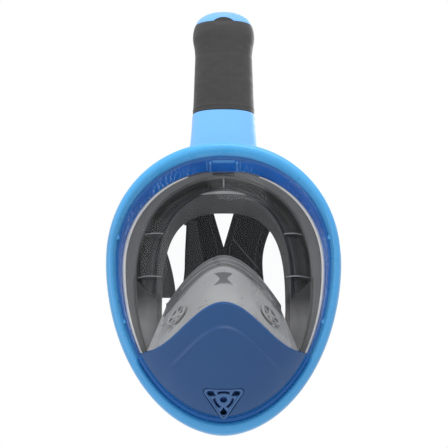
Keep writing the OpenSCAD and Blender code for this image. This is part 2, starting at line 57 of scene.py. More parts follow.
# ---------- driving dimensions, as in the CAD model ----------
FRAME_A, FRAME_UP, FRAME_DOWN, WRAP = 95, 95.5, 145, 12
UP_POWER, DOWN_POWER = 2.12, 1.92
LENS_Y, LENS_EDGE, LENS_BULGE, LENS_T = -40, 11, 52, 2.2
BEZEL_INSET, BEZEL_WALL, FLANGE_INSET, DUCT_DROP = 12, 1.8, 9.9, 0.3
CHIN_PEAK, CHIN_FALL, CHIN_W = -51, 31, 57
DRAIN_Z, DRAIN_LEAN = -121, 42
LEAN = math.radians(36)
BASE_Y, BASE_Z, SLOT_RISE, CAP_RISE, RISE = -24, 86, 181, 196, 222
OVAL_POWER = 2.4
LUG_INSET, LUG_Y, LUG_ANGLE, ARM_GAP = 9, -5.4, math.radians(38), 26.4
STRAP_W, STRAP_T = 24, 1.8
HARNESS_BACK, PAD_T = 78, 3
SCREW_INSET, SCREW_STATIONS = 7.7, np.radians([10, 62, 118, 170, 204, 248, 292, 336])

# ---------- the looks' own values ----------
# the shares of an inset that the frame's front and the bezel's rear edge take at the sides
SIDE_SHARE, REAR_SHARE = 0.78, 0.85
FRAME_STEPS = 320
PAD_TOP, PAD_LOW = 74, -30


# ---------- outlines ----------
def spow(v, p):
    return np.sign(v) * np.abs(v) ** p


def egg(t, a, up, down, p, q):
    """Points of an egg outline at the angles t: power p above its widest level and q below."""
    c, s = np.cos(t), np.sin(t)
    n = np.where(s >= 0, p, q)
    return np.stack([a * spow(c, 2 / n), np.where(s >= 0, up, down) * spow(s, 2 / n)], -1)


def half_width(inset):
    return FRAME_A - SIDE_SHARE * inset


def rim(t, inset, y=0):
    """The frame's outline moved inwards at depth y; towards the front it gives less at the sides."""
    share = mix(1, SIDE_SHARE, ease(-y, 20, 38))
    return egg(t, FRAME_A - share * inset, FRAME_UP - inset, FRAME_DOWN - inset, UP_POWER, DOWN_POWER)


def bezel_rear(t, inset):
    e = BEZEL_INSET + inset
    return egg(t, FRAME_A - REAR_SHARE * e, FRAME_UP - e - DUCT_DROP, FRAME_DOWN - e, UP_POWER, DOWN_POWER)


def opening(t, grow):
    return egg(t, 51 + grow, 79.6 + grow, 82 + grow, 2.9, 2.1) - [0, 30]


def curve_back(x):
    return WRAP * (np.asarray(x) / FRAME_A) ** 2


def at(p, y):
    """A front-view point p = (x, z) at depth y, curved back with the frame's sides."""
    return np.stack([p[..., 0], y + curve_back(p[..., 0]), p[..., 1]], -1)


def mix(p, q, s):
    return np.asarray(p) * (1 - s) + np.asarray(q) * s


def ease(v, lo, hi):
    """0 before lo, 1 after hi, and smooth between them."""
    t = np.clip((v - lo) / (hi - lo), 0, 1)
    return t * t * (3 - 2 * t)


def dome_y(x, z, skin):
    inset = LENS_EDGE + skin
    n = np.where(z >= 0, UP_POWER, DOWN_POWER)
    half = np.where(z >= 0, FRAME_UP, FRAME_DOWN) - inset
    rho = ((np.abs(x) / half_width(inset)) ** n + (np.abs(z) / half) ** n) ** (1 / n)
    return LENS_Y + curve_back(x) - (LENS_BULGE - skin) * np.sqrt(np.maximum(0, 1 - rho ** 2.6))


def on_dome(p, skin):
    return np.stack([p[..., 0], dome_y(p[..., 0], p[..., 1], skin), p[..., 1]], -1)


def bell(v):
    return (1 - np.cos(math.pi * np.minimum(1, np.abs(v)))) / 2


def chin_z(x):
    return CHIN_PEAK - CHIN_FALL * bell(np.asarray(x) / CHIN_W)


CHIN_T = math.asin(((CHIN_FALL - CHIN_PEAK) / (FRAME_DOWN - LENS_EDGE)) ** (DOWN_POWER / 2))
DEGREE_Z = 1.9


def lens_outline(inset, drop, arc_n, chin_n, upper):
    """The lens's outline above the chin line (upper) or the chin cover's below it."""
    t = CHIN_T + math.radians(drop / DEGREE_Z)
    ends = (-t, math.pi + t) if upper else (math.pi + t, TAU - t)
    arc = rim(np.linspace(*ends, arc_n + 1), inset, LENS_Y)
    half = abs(arc[0, 0]) * (-1 if upper else 1)
    x = half * (1 - 2 * np.arange(1, chin_n) / chin_n)
    return np.concatenate([arc, np.stack([x, chin_z(x) - drop], -1)])


def stations(n):
    return np.arange(n) * TAU / n


def circle(r, n):
    return [[r * math.cos(a), r * math.sin(a)] for a in stations(n)]


def run_along(p):
    """The distance from the start of a path to each of its points."""
    return np.concatenate([[0], np.cumsum(np.linalg.norm(np.diff(p, axis=0), axis=1))])


def spline(points, n, closed=False):
    """n points along a smooth curve through points."""
    p = np.array(points, float)
    m = len(p)
    spans = m if closed else m - 1
    s = np.linspace(0, spans, n, endpoint=not closed)
    i = np.minimum(s.astype(int), spans - 1)
    f = (s - i)[:, None]
    a, b, c, d = [p[(i + k) % m] if closed else p[np.clip(i + k, 0, m - 1)] for k in (-1, 0, 1, 2)]
    return 0.5 * (2 * b + (c - a) * f + (2 * a - 5 * b + 4 * c - d) * f**2 + (3 * b - a - 3 * c + d) * f**3)


def unit(v):
    v = np.asarray(v, float)
    return v / np.linalg.norm(v, axis=-1, keepdims=True)


# ---------- mesh parts ----------
# A part is (points, faces, material index or one for each face, UVs or None), in millimetres.
def grid(points, close_u=False, close_v=False, caps=False, mat=0, uv=None):
    """A surface through rows of points.

    close_v joins each row's ends, and close_u joins the last row to the first."""
    m, n, _ = points.shape
    i = np.arange(m * n).reshape(m, n)
    if close_u:
        i = np.vstack([i, i[:1]])
    if close_v:
        i = np.hstack([i, i[:, :1]])
    quads = np.stack([i[:-1, :-1], i[:-1, 1:], i[1:, 1:], i[1:, :-1]], -1).reshape(-1, 4)
    faces = [list(q) for q in quads.tolist()]
    if caps:
        faces += [list(range(n))[::-1], list(range((m - 1) * n, m * n))]
    return points.reshape(-1, 3), faces, mat, None if uv is None else uv.reshape(-1, 2)


def poles(first, rows, last):
    """Closed rows with a pole at each end."""
    points, faces, _, _ = grid(rows, close_v=True)
    m, n, _ = rows.shape
    faces = [[k + 1 for k in f] for f in faces]
    end = m * n + 1
    faces += [[0, 1 + (k + 1) % n, 1 + k] for k in range(n)]
    faces += [[end, end - n + k, end - n + (k + 1) % n] for k in range(n)]
    return np.concatenate([[first], points, [last]]), faces, 0, None


def sweep(profile, mat=0):
    """A closed profile of (inset, depth) points carried round the frame's outline."""
    t = stations(FRAME_STEPS)
    return grid(np.stack([at(rim(t, *q), q[1]) for q in profile]), close_u=True, close_v=True, mat=mat)


def tube(path, radius, sides=10, closed=False, mat=0):
    """A round bar along a path; radius is a number or one for each point."""
    p = np.array(path, float)
    n = len(p)
    ahead = np.roll(p, -1, 0) - np.roll(p, 1, 0)
    if not closed:
        ahead[0], ahead[-1] = p[1] - p[0], p[-1] - p[-2]
    ahead = unit(ahead)
    up = np.zeros_like(p)
    ref = np.array([0, 0, 1.0]) if abs(ahead[0, 2]) < 0.9 else np.array([0, 1.0, 0])
    for k in range(n):
        ref = unit(ref - ahead[k] * (ref @ ahead[k]))
        up[k] = ref
    side = np.cross(ahead, up)
    a = stations(sides)[None, :, None]
    r = np.broadcast_to(np.asarray(radius, float), (n,))[:, None, None]
    rows = p[:, None] + r * (np.cos(a) * side[:, None] + np.sin(a) * up[:, None])
    return grid(rows, close_u=closed, close_v=True, caps=not closed, mat=mat)


def block(corners_low, corners_high, mat=0):
    """A box between two opposite faces, each four points."""
    return grid(np.array([corners_low, corners_high], float), close_v=True, caps=True, mat=mat)


def placed(part, move):
    """A part with move applied to its points."""
    return (move(part[0]), *part[1:])


def stitches(path, pitch, length, radius, mat=0):
    """A row of sewn stitches along a path."""
    p = np.array(path, float)
    run = run_along(p)
    made = []
    for k in range(int(run[-1] / pitch)):
        s = np.array([0, 0.25, 0.5, 0.75, 1]) * length + k * pitch
        q = np.stack([np.interp(s, run, p[:, j]) for j in range(3)], -1)
        made.append(tube(q, radius * np.array([0.45, 0.9, 1, 0.9, 0.45]), 6, mat=mat))
    return made


def add_object(name, data):
    """A new object with this data, in the scene."""
    obj = bpy.data.objects.new(name, data)
    bpy.context.scene.collection.objects.link(obj)
    return obj


def make(name, parts, mats, sharp=38):
    """One mesh object, in metres, from its parts."""
    points, faces, index, uvs, start = [], [], [], [], 0
    for co, part_faces, mat, uv in parts:
        points.append(co)
        faces += [[k + start for k in f] for f in part_faces]
        index += mat if isinstance(mat, list) else [mat] * len(part_faces)
        uvs.append(np.zeros((len(co), 2)) if uv is None else uv)
        start += len(co)
    mesh = bpy.data.meshes.new(name)
    mesh.from_pydata((np.concatenate(points) * MM).tolist(), [], faces)
    mesh.polygons.foreach_set("material_index", index)
    layer = mesh.uv_layers.new(name="UVMap")
    loops = np.zeros(len(mesh.loops), np.int32)
    mesh.loops.foreach_get("vertex_index", loops)
    layer.data.foreach_set("uv", np.concatenate(uvs)[loops].astype(np.float32).ravel())
    bm = bmesh.new()
    bm.from_mesh(mesh)
    bmesh.ops.recalc_face_normals(bm, faces=bm.faces)
    bm.to_mesh(mesh)
    bm.free()
    mesh.polygons.foreach_set("use_smooth", [True] * len(mesh.polygons))
    mesh.set_sharp_from_angle(angle=math.radians(sharp))
    for m in mats:
        mesh.materials.append(m)
    return add_object(name, mesh)


def stand_in(obj, body, slot, *nodes):
    """obj rides on body and stands for the CAD nodes. slot is not used."""
    if body:
        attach(obj, body)
    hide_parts(*nodes)
    return obj


# ---------- materials ----------
class Tree:
    """A material's node tree with short ways to add nodes."""

    def __init__(self, name):
        self.material = bpy.data.materials.new(name)
        self.material.use_nodes = True
        self.tree = self.material.node_tree
        self.shader = self.tree.nodes["Principled BSDF"]
        self.output = self.tree.nodes["Material Output"]

    def node(self, kind, **inputs):
        made = self.tree.nodes.new("ShaderNode" + kind)
        for key, value in inputs.items():
            socket = made.inputs[key.replace("_", " ")]
            if isinstance(value, bpy.types.NodeSocket):
                self.tree.links.new(value, socket)
            else:
                socket.default_value = value
        return made

    def link(self, a, b):
        self.tree.links.new(a, b)

    def place(self, source="Object"):
        return self.node("TexCoord").outputs[source]

    def noise(self, scale, detail=4.0, stretch=None):
        """Noise with features about 1000 / scale mm across."""
        vector = self.place()
        if stretch:
            mapping = self.node("Mapping", Vector=vector)
            mapping.inputs["Scale"].default_value = stretch
            vector = mapping.outputs[0]
        return self.node("TexNoise", Vector=vector, Scale=scale, Detail=detail).outputs[0]

    def ramp(self, fac, low, high, to_low=0.0, to_high=1.0):
        made = self.node("MapRange", Value=fac)
        for key, value in zip(("From Min", "From Max", "To Min", "To Max"), (low, high, to_low, to_high)):
            made.inputs[key].default_value = value
        return made.outputs[0]

    def blend(self, fac, a, b):
        made = self.node("Mix")
        made.data_type = "RGBA"
        sockets = {s.identifier: s for s in made.inputs}
        for key, value in (("Factor_Float", fac), ("A_Color", a), ("B_Color", b)):
            if isinstance(value, bpy.types.NodeSocket):
                self.link(value, sockets[key])
            else:
                sockets[key].default_value = value if key == "Factor_Float" else (*value, 1)
        return [s for s in made.outputs if s.identifier == "Result_Color"][0]

    def math(self, operation, a, b=0.0):
        made = self.node("Math")
        made.operation = operation
        for socket, value in zip(made.inputs, (a, b)):
            if isinstance(value, bpy.types.NodeSocket):
                self.link(value, socket)
            else:
                socket.default_value = value
        return made.outputs[0]

    def bump(self, height, depth_mm, strength=1.0, normal=None):
        made = self.node("Bump", Height=height, Strength=strength, Distance=depth_mm * MM)
        if normal:
            self.link(normal, made.inputs["Normal"])
        return made.outputs[0]

    def height_z(self):
        """The object's own Z in millimetres."""
        split = self.node("SeparateXYZ", Vector=self.place())
        return self.math("MULTIPLY", split.outputs["Z"], 1000.0)

    def set(self, **values):
        for key, value in values.items():
            self.shader.inputs[key.replace("_", " ")].default_value = value
        return self

    def colour(self, socket):
        self.link(socket, self.shader.inputs["Base Color"])

    def rough(self, socket):
        self.link(socket, self.shader.inputs["Roughness"])

    def normal(self, socket):
        self.link(socket, self.shader.inputs["Normal"])


def shade(colour, k):
    return tuple(min(1.0, c * k) for c in colour)


def plastic(name, colour, rough, grain=0.02, shine=0.5, coat=0.0, above=None):
    """Moulded plastic: a very fine grain, with slow changes of tone and gloss.

    Its colour turns into the one above towards the brow: painted light, as the top of the frame would be lit
    more from above."""
    t = Tree(name)
    tone = t.blend(t.ramp(t.noise(14, 3), 0.3, 0.7), shade(colour, 0.95), shade(colour, 1.04))
    # paler higher up: painted light from above
    t.colour(t.blend(t.ramp(t.height_z(), 15.0, 88.0), tone, above) if above else tone)
    t.rough(t.ramp(t.noise(120, 5), 0.35, 0.7, rough - 0.04, rough + 0.06))
    t.normal(t.bump(t.noise(1400, 2), grain, 0.08))
    t.set(Specular_IOR_Level=shine, Coat_Weight=coat, Coat_Roughness=0.08)
    return t.material


def silicone(name, colour, rough, depth=0.03, sheen=0.15, soft=0.0):
    """Moulded silicone: satin, with a soft tone and a faint dusty bloom."""
    t = Tree(name)
    tone = t.ramp(t.noise(26, 5), 0.3, 0.7)
    t.colour(t.blend(tone, shade(colour, 0.88), shade(colour, 1.1)))
    t.rough(t.ramp(t.noise(90, 5), 0.3, 0.7, rough - 0.06, rough + 0.1))
    fine = t.bump(t.noise(900, 3), depth, 0.4)
    t.normal(t.bump(t.noise(60, 3), 0.12, 0.35, fine))
    t.set(Sheen_Weight=sheen, Sheen_Roughness=0.5, Specular_IOR_Level=0.45)
    if soft:
        t.set(Subsurface_Weight=soft, Subsurface_Radius=(1.0, 1.0, 1.0), Subsurface_Scale=0.004)
    return t.material


def skirt_material(name, dark, light):
    """Grey silicone, paler and more see-through below the eyes, where it thins into the cheeks."""
    t = Tree(name)
    z = t.height_z()
    low = t.ramp(t.math("ADD", z, t.ramp(t.noise(30, 4), 0, 1, -5, 5)), -24.0, -46.0)
    streak = t.noise(60, 5, (1, 1, 0.25))
    upper = t.blend(t.ramp(streak, 0.3, 0.7), (dark,) * 3, (light,) * 3)
    lower = t.blend(t.ramp(streak, 0.3, 0.7), (0.15, 0.147, 0.14), (0.29, 0.285, 0.275))
    t.colour(t.blend(low, upper, lower))
    t.rough(t.ramp(t.noise(110, 5), 0.3, 0.7, 0.34, 0.5))
    fine = t.bump(t.noise(900, 3), 0.03, 0.4)
    t.normal(t.bump(t.noise(45, 3), 0.16, 0.4, fine))
    t.set(Sheen_Weight=0.03, Sheen_Roughness=0.5, Specular_IOR_Level=0.25)
    return t.material


def bezel_material():
    """Clear deep-blue plastic seen against the ring: dark, with painted bright streaks that stand in for the
    light it bends.
    """
    t = Tree("bezel_painted_streaks")
    wave = t.node("TexWave", Vector=t.place(), Scale=90.0, Distortion=9.0, Detail=4.0)
    wave.inputs["Detail Scale"].default_value = 1.6
    # the bright streaks are painted highlights mixed into the colour in patches
    streak = t.ramp(wave.outputs["Fac"], 0.86, 0.99)
    patch = t.ramp(t.noise(34, 2), 0.48, 0.6)
    lit = t.math("MULTIPLY", streak, patch)
    tone = t.blend(t.ramp(t.noise(40, 4), 0.3, 0.7), (0.001, 0.10, 0.46), (0.002, 0.15, 0.60))
    t.colour(t.blend(t.math("MULTIPLY", lit, 0.9), tone, (0.24, 0.50, 0.86)))
    t.rough(t.ramp(t.noise(70, 4), 0.3, 0.7, 0.1, 0.26))
    t.normal(t.bump(wave.outputs["Fac"], 0.25, 0.3))
    t.set(Specular_IOR_Level=0.05)
    return t.material


def lens_material():
    """Clear polycarbonate with a faint wipe haze, glossier towards its edges.

    Lamps shine through it onto what is behind."""
    t = Tree("lens_clear")
    t.set(Base_Color=(0.93, 0.97, 1.0, 1), Metallic=1.0)
    t.rough(t.ramp(t.noise(30, 6, (1, 1, 2.5)), 0.4, 0.8, 0.02, 0.07))
    facing = t.node("LayerWeight", Blend=0.5).outputs["Facing"]
    gloss = t.math("ADD", t.math("MULTIPLY", t.math("POWER", facing, 5.0), 0.07), 0.006)
    clear = t.node("BsdfTransparent", Color=(0.985, 0.987, 0.99, 1))
    lit = t.math("MULTIPLY", gloss, t.math("SUBTRACT", 1.0, t.node("LightPath").outputs["Is Shadow Ray"]))
    both = t.node("MixShader", Fac=lit)
    t.link(clear.outputs[0], both.inputs[1])
    t.link(t.shader.outputs[0], both.inputs[2])
    t.link(both.outputs[0], t.output.inputs["Surface"])
    return t.material


def steel_material():
    t = Tree("steel_brushed")
    t.colour(t.blend(t.ramp(t.noise(60, 4), 0.3, 0.7), (0.52, 0.53, 0.55), (0.68, 0.69, 0.7)))
    t.rough(t.ramp(t.noise(500, 3, (1, 1, 12)), 0.3, 0.7, 0.2, 0.38))
    t.normal(t.bump(t.noise(900, 2, (1, 1, 14)), 0.02, 0.4))
    return t.set(Metallic=1.0).material


def webbing_material(name, colour):
    """Woven elastic: UVs are in millimetres, U across the strap and V along it."""
    t = Tree(name)
    uv = t.place("UV")

    def waves(direction, pitch_mm):
        made = t.node("TexWave", Vector=uv, Scale=0.314 / pitch_mm, Distortion=0.25)
        made.bands_direction = direction
        return made.outputs["Fac"]

    weft, warp = waves("Y", 1.3), waves("X", 1.1)
    weave = t.math("MULTIPLY", weft, warp)
    fuzz = t.noise(1800, 2)
    # the colour follows the weave's relief: its hollows are painted darker as shade and its crests paler as
    # light
    base = t.blend(t.ramp(weave, 0.05, 0.6), shade(colour, 0.6), shade(colour, 1.35))
    t.colour(t.blend(t.ramp(t.noise(40, 4), 0.3, 0.75, 0, 0.4), base, shade(colour, 1.5)))
    t.rough(t.ramp(fuzz, 0.2, 0.8, 0.72, 0.92))
    t.normal(t.bump(weave, 0.22, 0.8, t.bump(fuzz, 0.05, 0.4)))
    t.set(Sheen_Weight=0.25, Sheen_Roughness=0.4, Specular_IOR_Level=0.25)
    return t.material


def neoprene_material(name, colour):
    """Knit-faced foam: a fine stocking knit over a soft, slightly uneven sheet."""
    t = Tree(name)
    knit = t.node("TexVoronoi", Vector=t.place(), Scale=850.0)
    pill = t.noise(260, 5)
    t.colour(t.blend(t.ramp(pill, 0.3, 0.75), shade(colour, 0.75), shade(colour, 1.3)))
    t.rough(t.ramp(pill, 0.2, 0.8, 0.75, 0.95))
    t.normal(t.bump(knit.outputs["Distance"], 0.18, 0.6, t.bump(t.noise(70, 3), 0.3, 0.4)))
    t.set(Sheen_Weight=0.12, Sheen_Roughness=0.45, Specular_IOR_Level=0.2)
    return t.material


def foam_material():
    t = Tree("float_orange")
    t.colour(t.blend(t.ramp(t.noise(50, 4), 0.3, 0.7), (0.62, 0.17, 0.02), (0.78, 0.25, 0.04)))
    t.rough(t.ramp(t.noise(200, 4), 0.3, 0.7, 0.45, 0.6))
    t.normal(t.bump(t.noise(900, 2), 0.03, 0.4))
    return t.material


# the paler blue towards the brow is painted light from above
BLUE = plastic("frame_blue_gloss", (0.043, 0.26, 0.54), 0.3, 0.015, 0.4, 0.15, (0.062, 0.38, 0.76))
NECK_BLUE = plastic("neck_blue_satin", (0.12, 0.39, 0.84), 0.36, 0.02, 0.4)
CAP_BLUE = plastic("cap_blue_satin", (0.125, 0.40, 0.84), 0.34, 0.02, 0.4)
NAVY = plastic("navy_satin", (0.014, 0.058, 0.168), 0.42, 0.03, 0.3)
NAVY_EDGE = plastic("navy_edge_satin", (0.04, 0.105, 0.25), 0.4, 0.02, 0.35)
# a brighter blue; on the chin cover's edge rows it is painted light
EDGE_BLUE = plastic("cover_edge_blue", (0.004, 0.10, 0.34), 0.35, 0.02, 0.3)
DARK = plastic("snorkel_grey_satin", (0.016, 0.016, 0.0165), 0.46, 0.05, 0.25)
BLACK = plastic("clip_black_satin", (0.014, 0.014, 0.016), 0.38, 0.04, 0.4)
BEZEL = bezel_material()
# a paler copy of the bezel's blue: painted highlights on the duct's ribs, pins and front bars
BEZEL_HIGHLIGHT = plastic("bezel_painted_highlight", (0.09, 0.33, 0.72), 0.2, 0.01, 0.3)
LENS = lens_material()
SKIRT = skirt_material("skirt_silicone_detail", 0.042, 0.066)
# a darker copy of the skirt's silicone: painted shade in the channel round the eyes and in the brow socket
SKIRT_SHADED = skirt_material("skirt_silicone_painted_shade", 0.016, 0.03)
# a paler copy of the skirt's silicone: painted light on the border next to the bezel
SKIRT_LIT = silicone("skirt_painted_lit_border", (0.12, 0.12, 0.118), 0.36, 0.02, 0.05)
# near-white: a painted glint along the lens's edge
LENS_GLINT_BEAD = silicone("lens_edge_painted_glint", (0.80, 0.78, 0.74), 0.22, 0.01, 0.0)
CUP = silicone("cup_silicone_milky", (0.32, 0.32, 0.315), 0.3, 0.02, 0.05, 0.15)
CUP_BAND = silicone("cup_band_smoky", (0.12, 0.12, 0.118), 0.3, 0.02, 0.05, 0.1)
CUP_LIP = silicone("cup_lip_dark", (0.10, 0.10, 0.098), 0.32, 0.02, 0.05)
# the seats' own grey; on the skirt's and cup's crests, beads and lines it is painted highlight
SEAT_AND_HIGHLIGHT_GREY = silicone("seat_and_painted_highlight_grey", (0.30, 0.30, 0.295), 0.3, 0.01, 0.05)
VALVE = silicone("valve_silicone_smoky", (0.02, 0.02, 0.02), 0.3, 0.01, 0.0)
DRAIN_BLUE = silicone("drain_silicone_blue", (0.006, 0.045, 0.2), 0.35, 0.01, 0.0)
STEEL = steel_material()
WEBBING = webbing_material("webbing_black", (0.022, 0.022, 0.023))
TAIL_WEB = webbing_material("webbing_grey", (0.045, 0.045, 0.046))
NEOPRENE = neoprene_material("neoprene_black", (0.010, 0.010, 0.0105))
LINING = neoprene_material("neoprene_grey", (0.03, 0.03, 0.031))
THREAD = silicone("thread_grey", (0.07, 0.07, 0.072), 0.8, 0.02, 0.1)
FOAM = foam_material()

CORNERS = ["upper_left", "upper_right", "lower_left", "lower_right"]
# finishes of the CAD pieces that are shown as they are; the others have a stand-in below
CAD_MATERIALS = {
    BLUE: ["screw_bosses", "strap_lugs"],
    STEEL: ["frame_screws", "lug_pins"],
    BEZEL: ["air_duct_walls"],
    NAVY: ["chin_housing"],
    VALVE: ["neck_gasket", "float_seal", "exhaust_flap_left", "exhaust_flap_right"],
    DRAIN_BLUE: ["drain_valve_seat", "drain_membrane"],
    FOAM: ["float"],
    DARK: ["channel_dividers", "intake_seat", "float_stop", "exhaust_seat_left", "exhaust_seat_right"],
    BLACK: ["strap_keepers"] + ["clip_" + corner for corner in CORNERS],
}
for look, names in CAD_MATERIALS.items():
    for name in names:
        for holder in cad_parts[name].material_slots:
            holder.material = look


# ---------- frame ----------
def frame_ring():
    profile = [(4.2, -16), (3.6, -19.5), (3, -23), (2.4, -27), (1.8, -31), (1.2, -34.6), (0.6, -38.2),
               (0.15, -41.5), (0.1, -44.2), (0.8, -46.8), (2.3, -48.7), (4.3, -49.7), (6.2, -49.7),
               (7.9, -48.6), (9.3, -46.5), (10.2, -44), (10.65, -42), (10.4, -41.35), (9.6, -41.6),
               (8.3, -44.6), (6, -46.8), (3.8, -45.4), (3, -41), (4.3, -31), (5, -23), (5.6, -16),
               (4.9, -15.7)]
    obj = make("frame_ring_shell", [sweep(spline(profile, 84, True))], [BLUE], sharp=50)
    return stand_in(obj, "root", "frame_blue", "frame_ring")


def frame_rear_ring():
    profile = [(4.3, -15.4), (4.8, -15.7), (5.5, -15.5), (5.7, -14), (6.2, -13.5), (9, -13.4), (12.8, -13.4),
               (13.4, -12.9), (13.4, -11.4), (12.9, -10.9), (9, -10.8), (6, -10.8), (5, -11.2), (4.4, -12.1)]
    parts = [sweep(spline(profile, 56, True))]
    # a raised collar round each screw
    for t in SCREW_STATIONS:
        centre = at(rim(t, SCREW_INSET), -11)
        rows = [[centre + [x, y, z] for x, z in circle(r, 40)]
                for r, y in ((3.1, 0), (2.9, 0.8), (2.6, 1.05), (1.9, 1.05), (1.9, -1))]
        parts.append(grid(np.array(rows), close_v=True))
    obj = make("frame_rear_shell", parts, [BLUE], sharp=50)
    return stand_in(obj, "root", "frame_blue", "frame_rear_ring")


# ---------- lens and bezel ----------
def bezel():
    t = stations(FRAME_STEPS)
    front = LENS_EDGE + 0.2
    inner = front + BEZEL_WALL
    rows = []
    for k in np.linspace(0, 1, 14):
        edge = mix(rim(t, front, LENS_Y), bezel_rear(t, 0), 0.9 * k)
        # the wall swells a little in waves, as a thin moulding does
        swell = 0.08 * math.sin(k * math.pi) * np.sin(9 * t + 4 * k)
        rows.append(at(edge * (1 + swell / 90)[:, None], LENS_Y - 0.2 + (LENS_Y * -1 - 18.4) * k))
    inner_front, inner_rear = rim(t, inner, LENS_Y), bezel_rear(t, BEZEL_WALL)
    rows += [at(rim(t, FLANGE_INSET), -18.6), at(rim(t, FLANGE_INSET), -17), at(inner_rear, -17),
             at(mix(inner_front, inner_rear, 0.6), -26), at(inner_front, LENS_Y + 1.4)]
    parts = [grid(np.array(rows), close_u=True, close_v=True)]
    # the lip that closes the gap to the frame
    parts.append(sweep([(10.5, -41.9), (13.1, -41.2), (13.1, -40.3), (10.5, -40.5)], mat=2))
    # its wider, brighter lip round the chin
    arc = np.linspace(math.pi + CHIN_T + 0.012, TAU - CHIN_T - 0.012, 170)
    lip = [(8.9, -46.2), (9.7, -47.5), (12.3, -48.2), (13.2, -46.4), (12.8, -40.6), (10.7, -40.4)]
    parts.append(grid(np.stack([at(rim(arc, *q), q[1]) for q in lip], 1), close_v=True, caps=True, mat=2))

    def wall(x, k, inward):
        """A point on the inner wall of the brow at x, a share k of the way back."""
        s = np.clip(abs(x) / half_width(inner), 0, 0.999)
        z_front = (FRAME_UP - inner) * (1 - s ** UP_POWER) ** (1 / UP_POWER)
        z_rear = (FRAME_UP - BEZEL_INSET - BEZEL_WALL - DUCT_DROP) * (1 - s ** UP_POWER) ** (1 / UP_POWER)
        return [x, mix(LENS_Y + 1.4, -17, k) + float(curve_back(x)), mix(z_front, z_rear, k) - inward]

    # the air duct's panel, its side ribs, pins and cross bars; the ribs, pins and the two front cross bars
    # are painted paler blue as highlights
    def bar(x0, x1, k0, k1, high, mat):
        corners = ((x0, k0), (x1, k0), (x1, k1), (x0, k1))
        low, top = [[wall(x, k, inward) for x, k in corners] for inward in (-0.3, high)]
        parts.append(block(low, top, mat))

    for side in (-1, 1):
        bar(side * 10.3, side * 11.5, 0.04, 0.92, 1.5, 1)
        bar(side * 13.4, side * 14.2, 0.02, 0.8, 0.7, 1)
        parts.append(tube([wall(side * 11, 0.06, 0.6), wall(side * 11, 0.06, 2.6)], 1.15, 14, mat=1))
        parts.append(tube([wall(side * 11, 0.3, 1.2), wall(side * 11, 0.62, 1.2)], 0.5, 8, mat=1))
    bar(-9.4, 9.4, 0.0, 0.055, 1.1, 1)
    bar(-8.6, 8.6, 0.11, 0.15, 1.0, 1)
    bar(-14.8, 14.8, 0.9, 0.97, 0.8, 0)
    bar(-9.6, 9.6, 0.2, 0.84, 0.35, 0)
    # stiffening ribs on the rest of the wall
    for x in (26, 34, 50):
        for side in (-1, 1):
            bar(side * x, side * (x + 0.9), 0.05, 0.86, 0.55, 0)
    obj = make("lens_bezel_moulding", parts, [BEZEL, BEZEL_HIGHLIGHT, EDGE_BLUE], sharp=35)
    return stand_in(obj, "root", "deep_blue", "lens_bezel")


def dome_levels(n):
    """Shares of the way from the hub to the outline, closer together towards the edge."""
    return 1 - (1 - np.arange(1, n + 1) / n) ** 1.8


def lens():
    outer, inner = [lens_outline(LENS_EDGE + skin, -0.4, 150, 64, True) for skin in (0, LENS_T)]
    hub = np.array([0, 12.0])
    levels = dome_levels(36)
    rows = [on_dome(mix(hub, outer, k), 0) for k in levels]
    rows += [on_dome(mix(hub, inner, k), LENS_T) for k in levels[::-1]]
    part = poles(on_dome(hub, 0), np.array(rows), on_dome(hub, LENS_T))
    obj = make("lens_shell", [part], [LENS], sharp=60)
    return stand_in(obj, "root", "clear_lens", "lens")


# ---------- chin ----------
def on_drain(points):
    """Moves points from the drain's own frame, whose Z is its axis, to the chin."""
    a = math.radians(90 + DRAIN_LEAN)
    p = np.array(points, float)
    y, z = p[:, 1] * math.cos(a) - p[:, 2] * math.sin(a), p[:, 1] * math.sin(a) + p[:, 2] * math.cos(a)
    return np.stack([p[:, 0], y, z], -1) + on_dome(np.array([0.0, DRAIN_Z]), 0)


def rounded(corners, radius, steps=8):
    """A polygon's outline, counter-clockwise, with its corners rounded."""
    c = np.array(corners, float)
    made = []
    for k in range(len(c)):
        to_last, to_next = unit(c[k - 1] - c[k]), unit(c[(k + 1) % len(c)] - c[k])
        half = math.acos(np.clip(to_last @ to_next, -1, 1)) / 2
        reach = radius / math.tan(half)
        centre = c[k] + unit(to_last + to_next) * radius / math.sin(half)
        start = c[k] + to_last * reach - centre
        turn = math.pi - 2 * half
        for s in np.linspace(0, turn, steps):
            made.append(centre + [start[0] * math.cos(s) - start[1] * math.sin(s),
                                  start[0] * math.sin(s) + start[1] * math.cos(s)])
    return np.array(made)


GRILLE_R, GRILLE_ROUND = 14.4, 2.4


def grille_outline(grow):
    reach = GRILLE_R + 2 * (GRILLE_ROUND + grow)
    corners = [[reach * math.cos(a), reach * math.sin(a)] for a in np.radians([30, 150, 270])]
    return rounded(corners, GRILLE_ROUND + grow, 10)


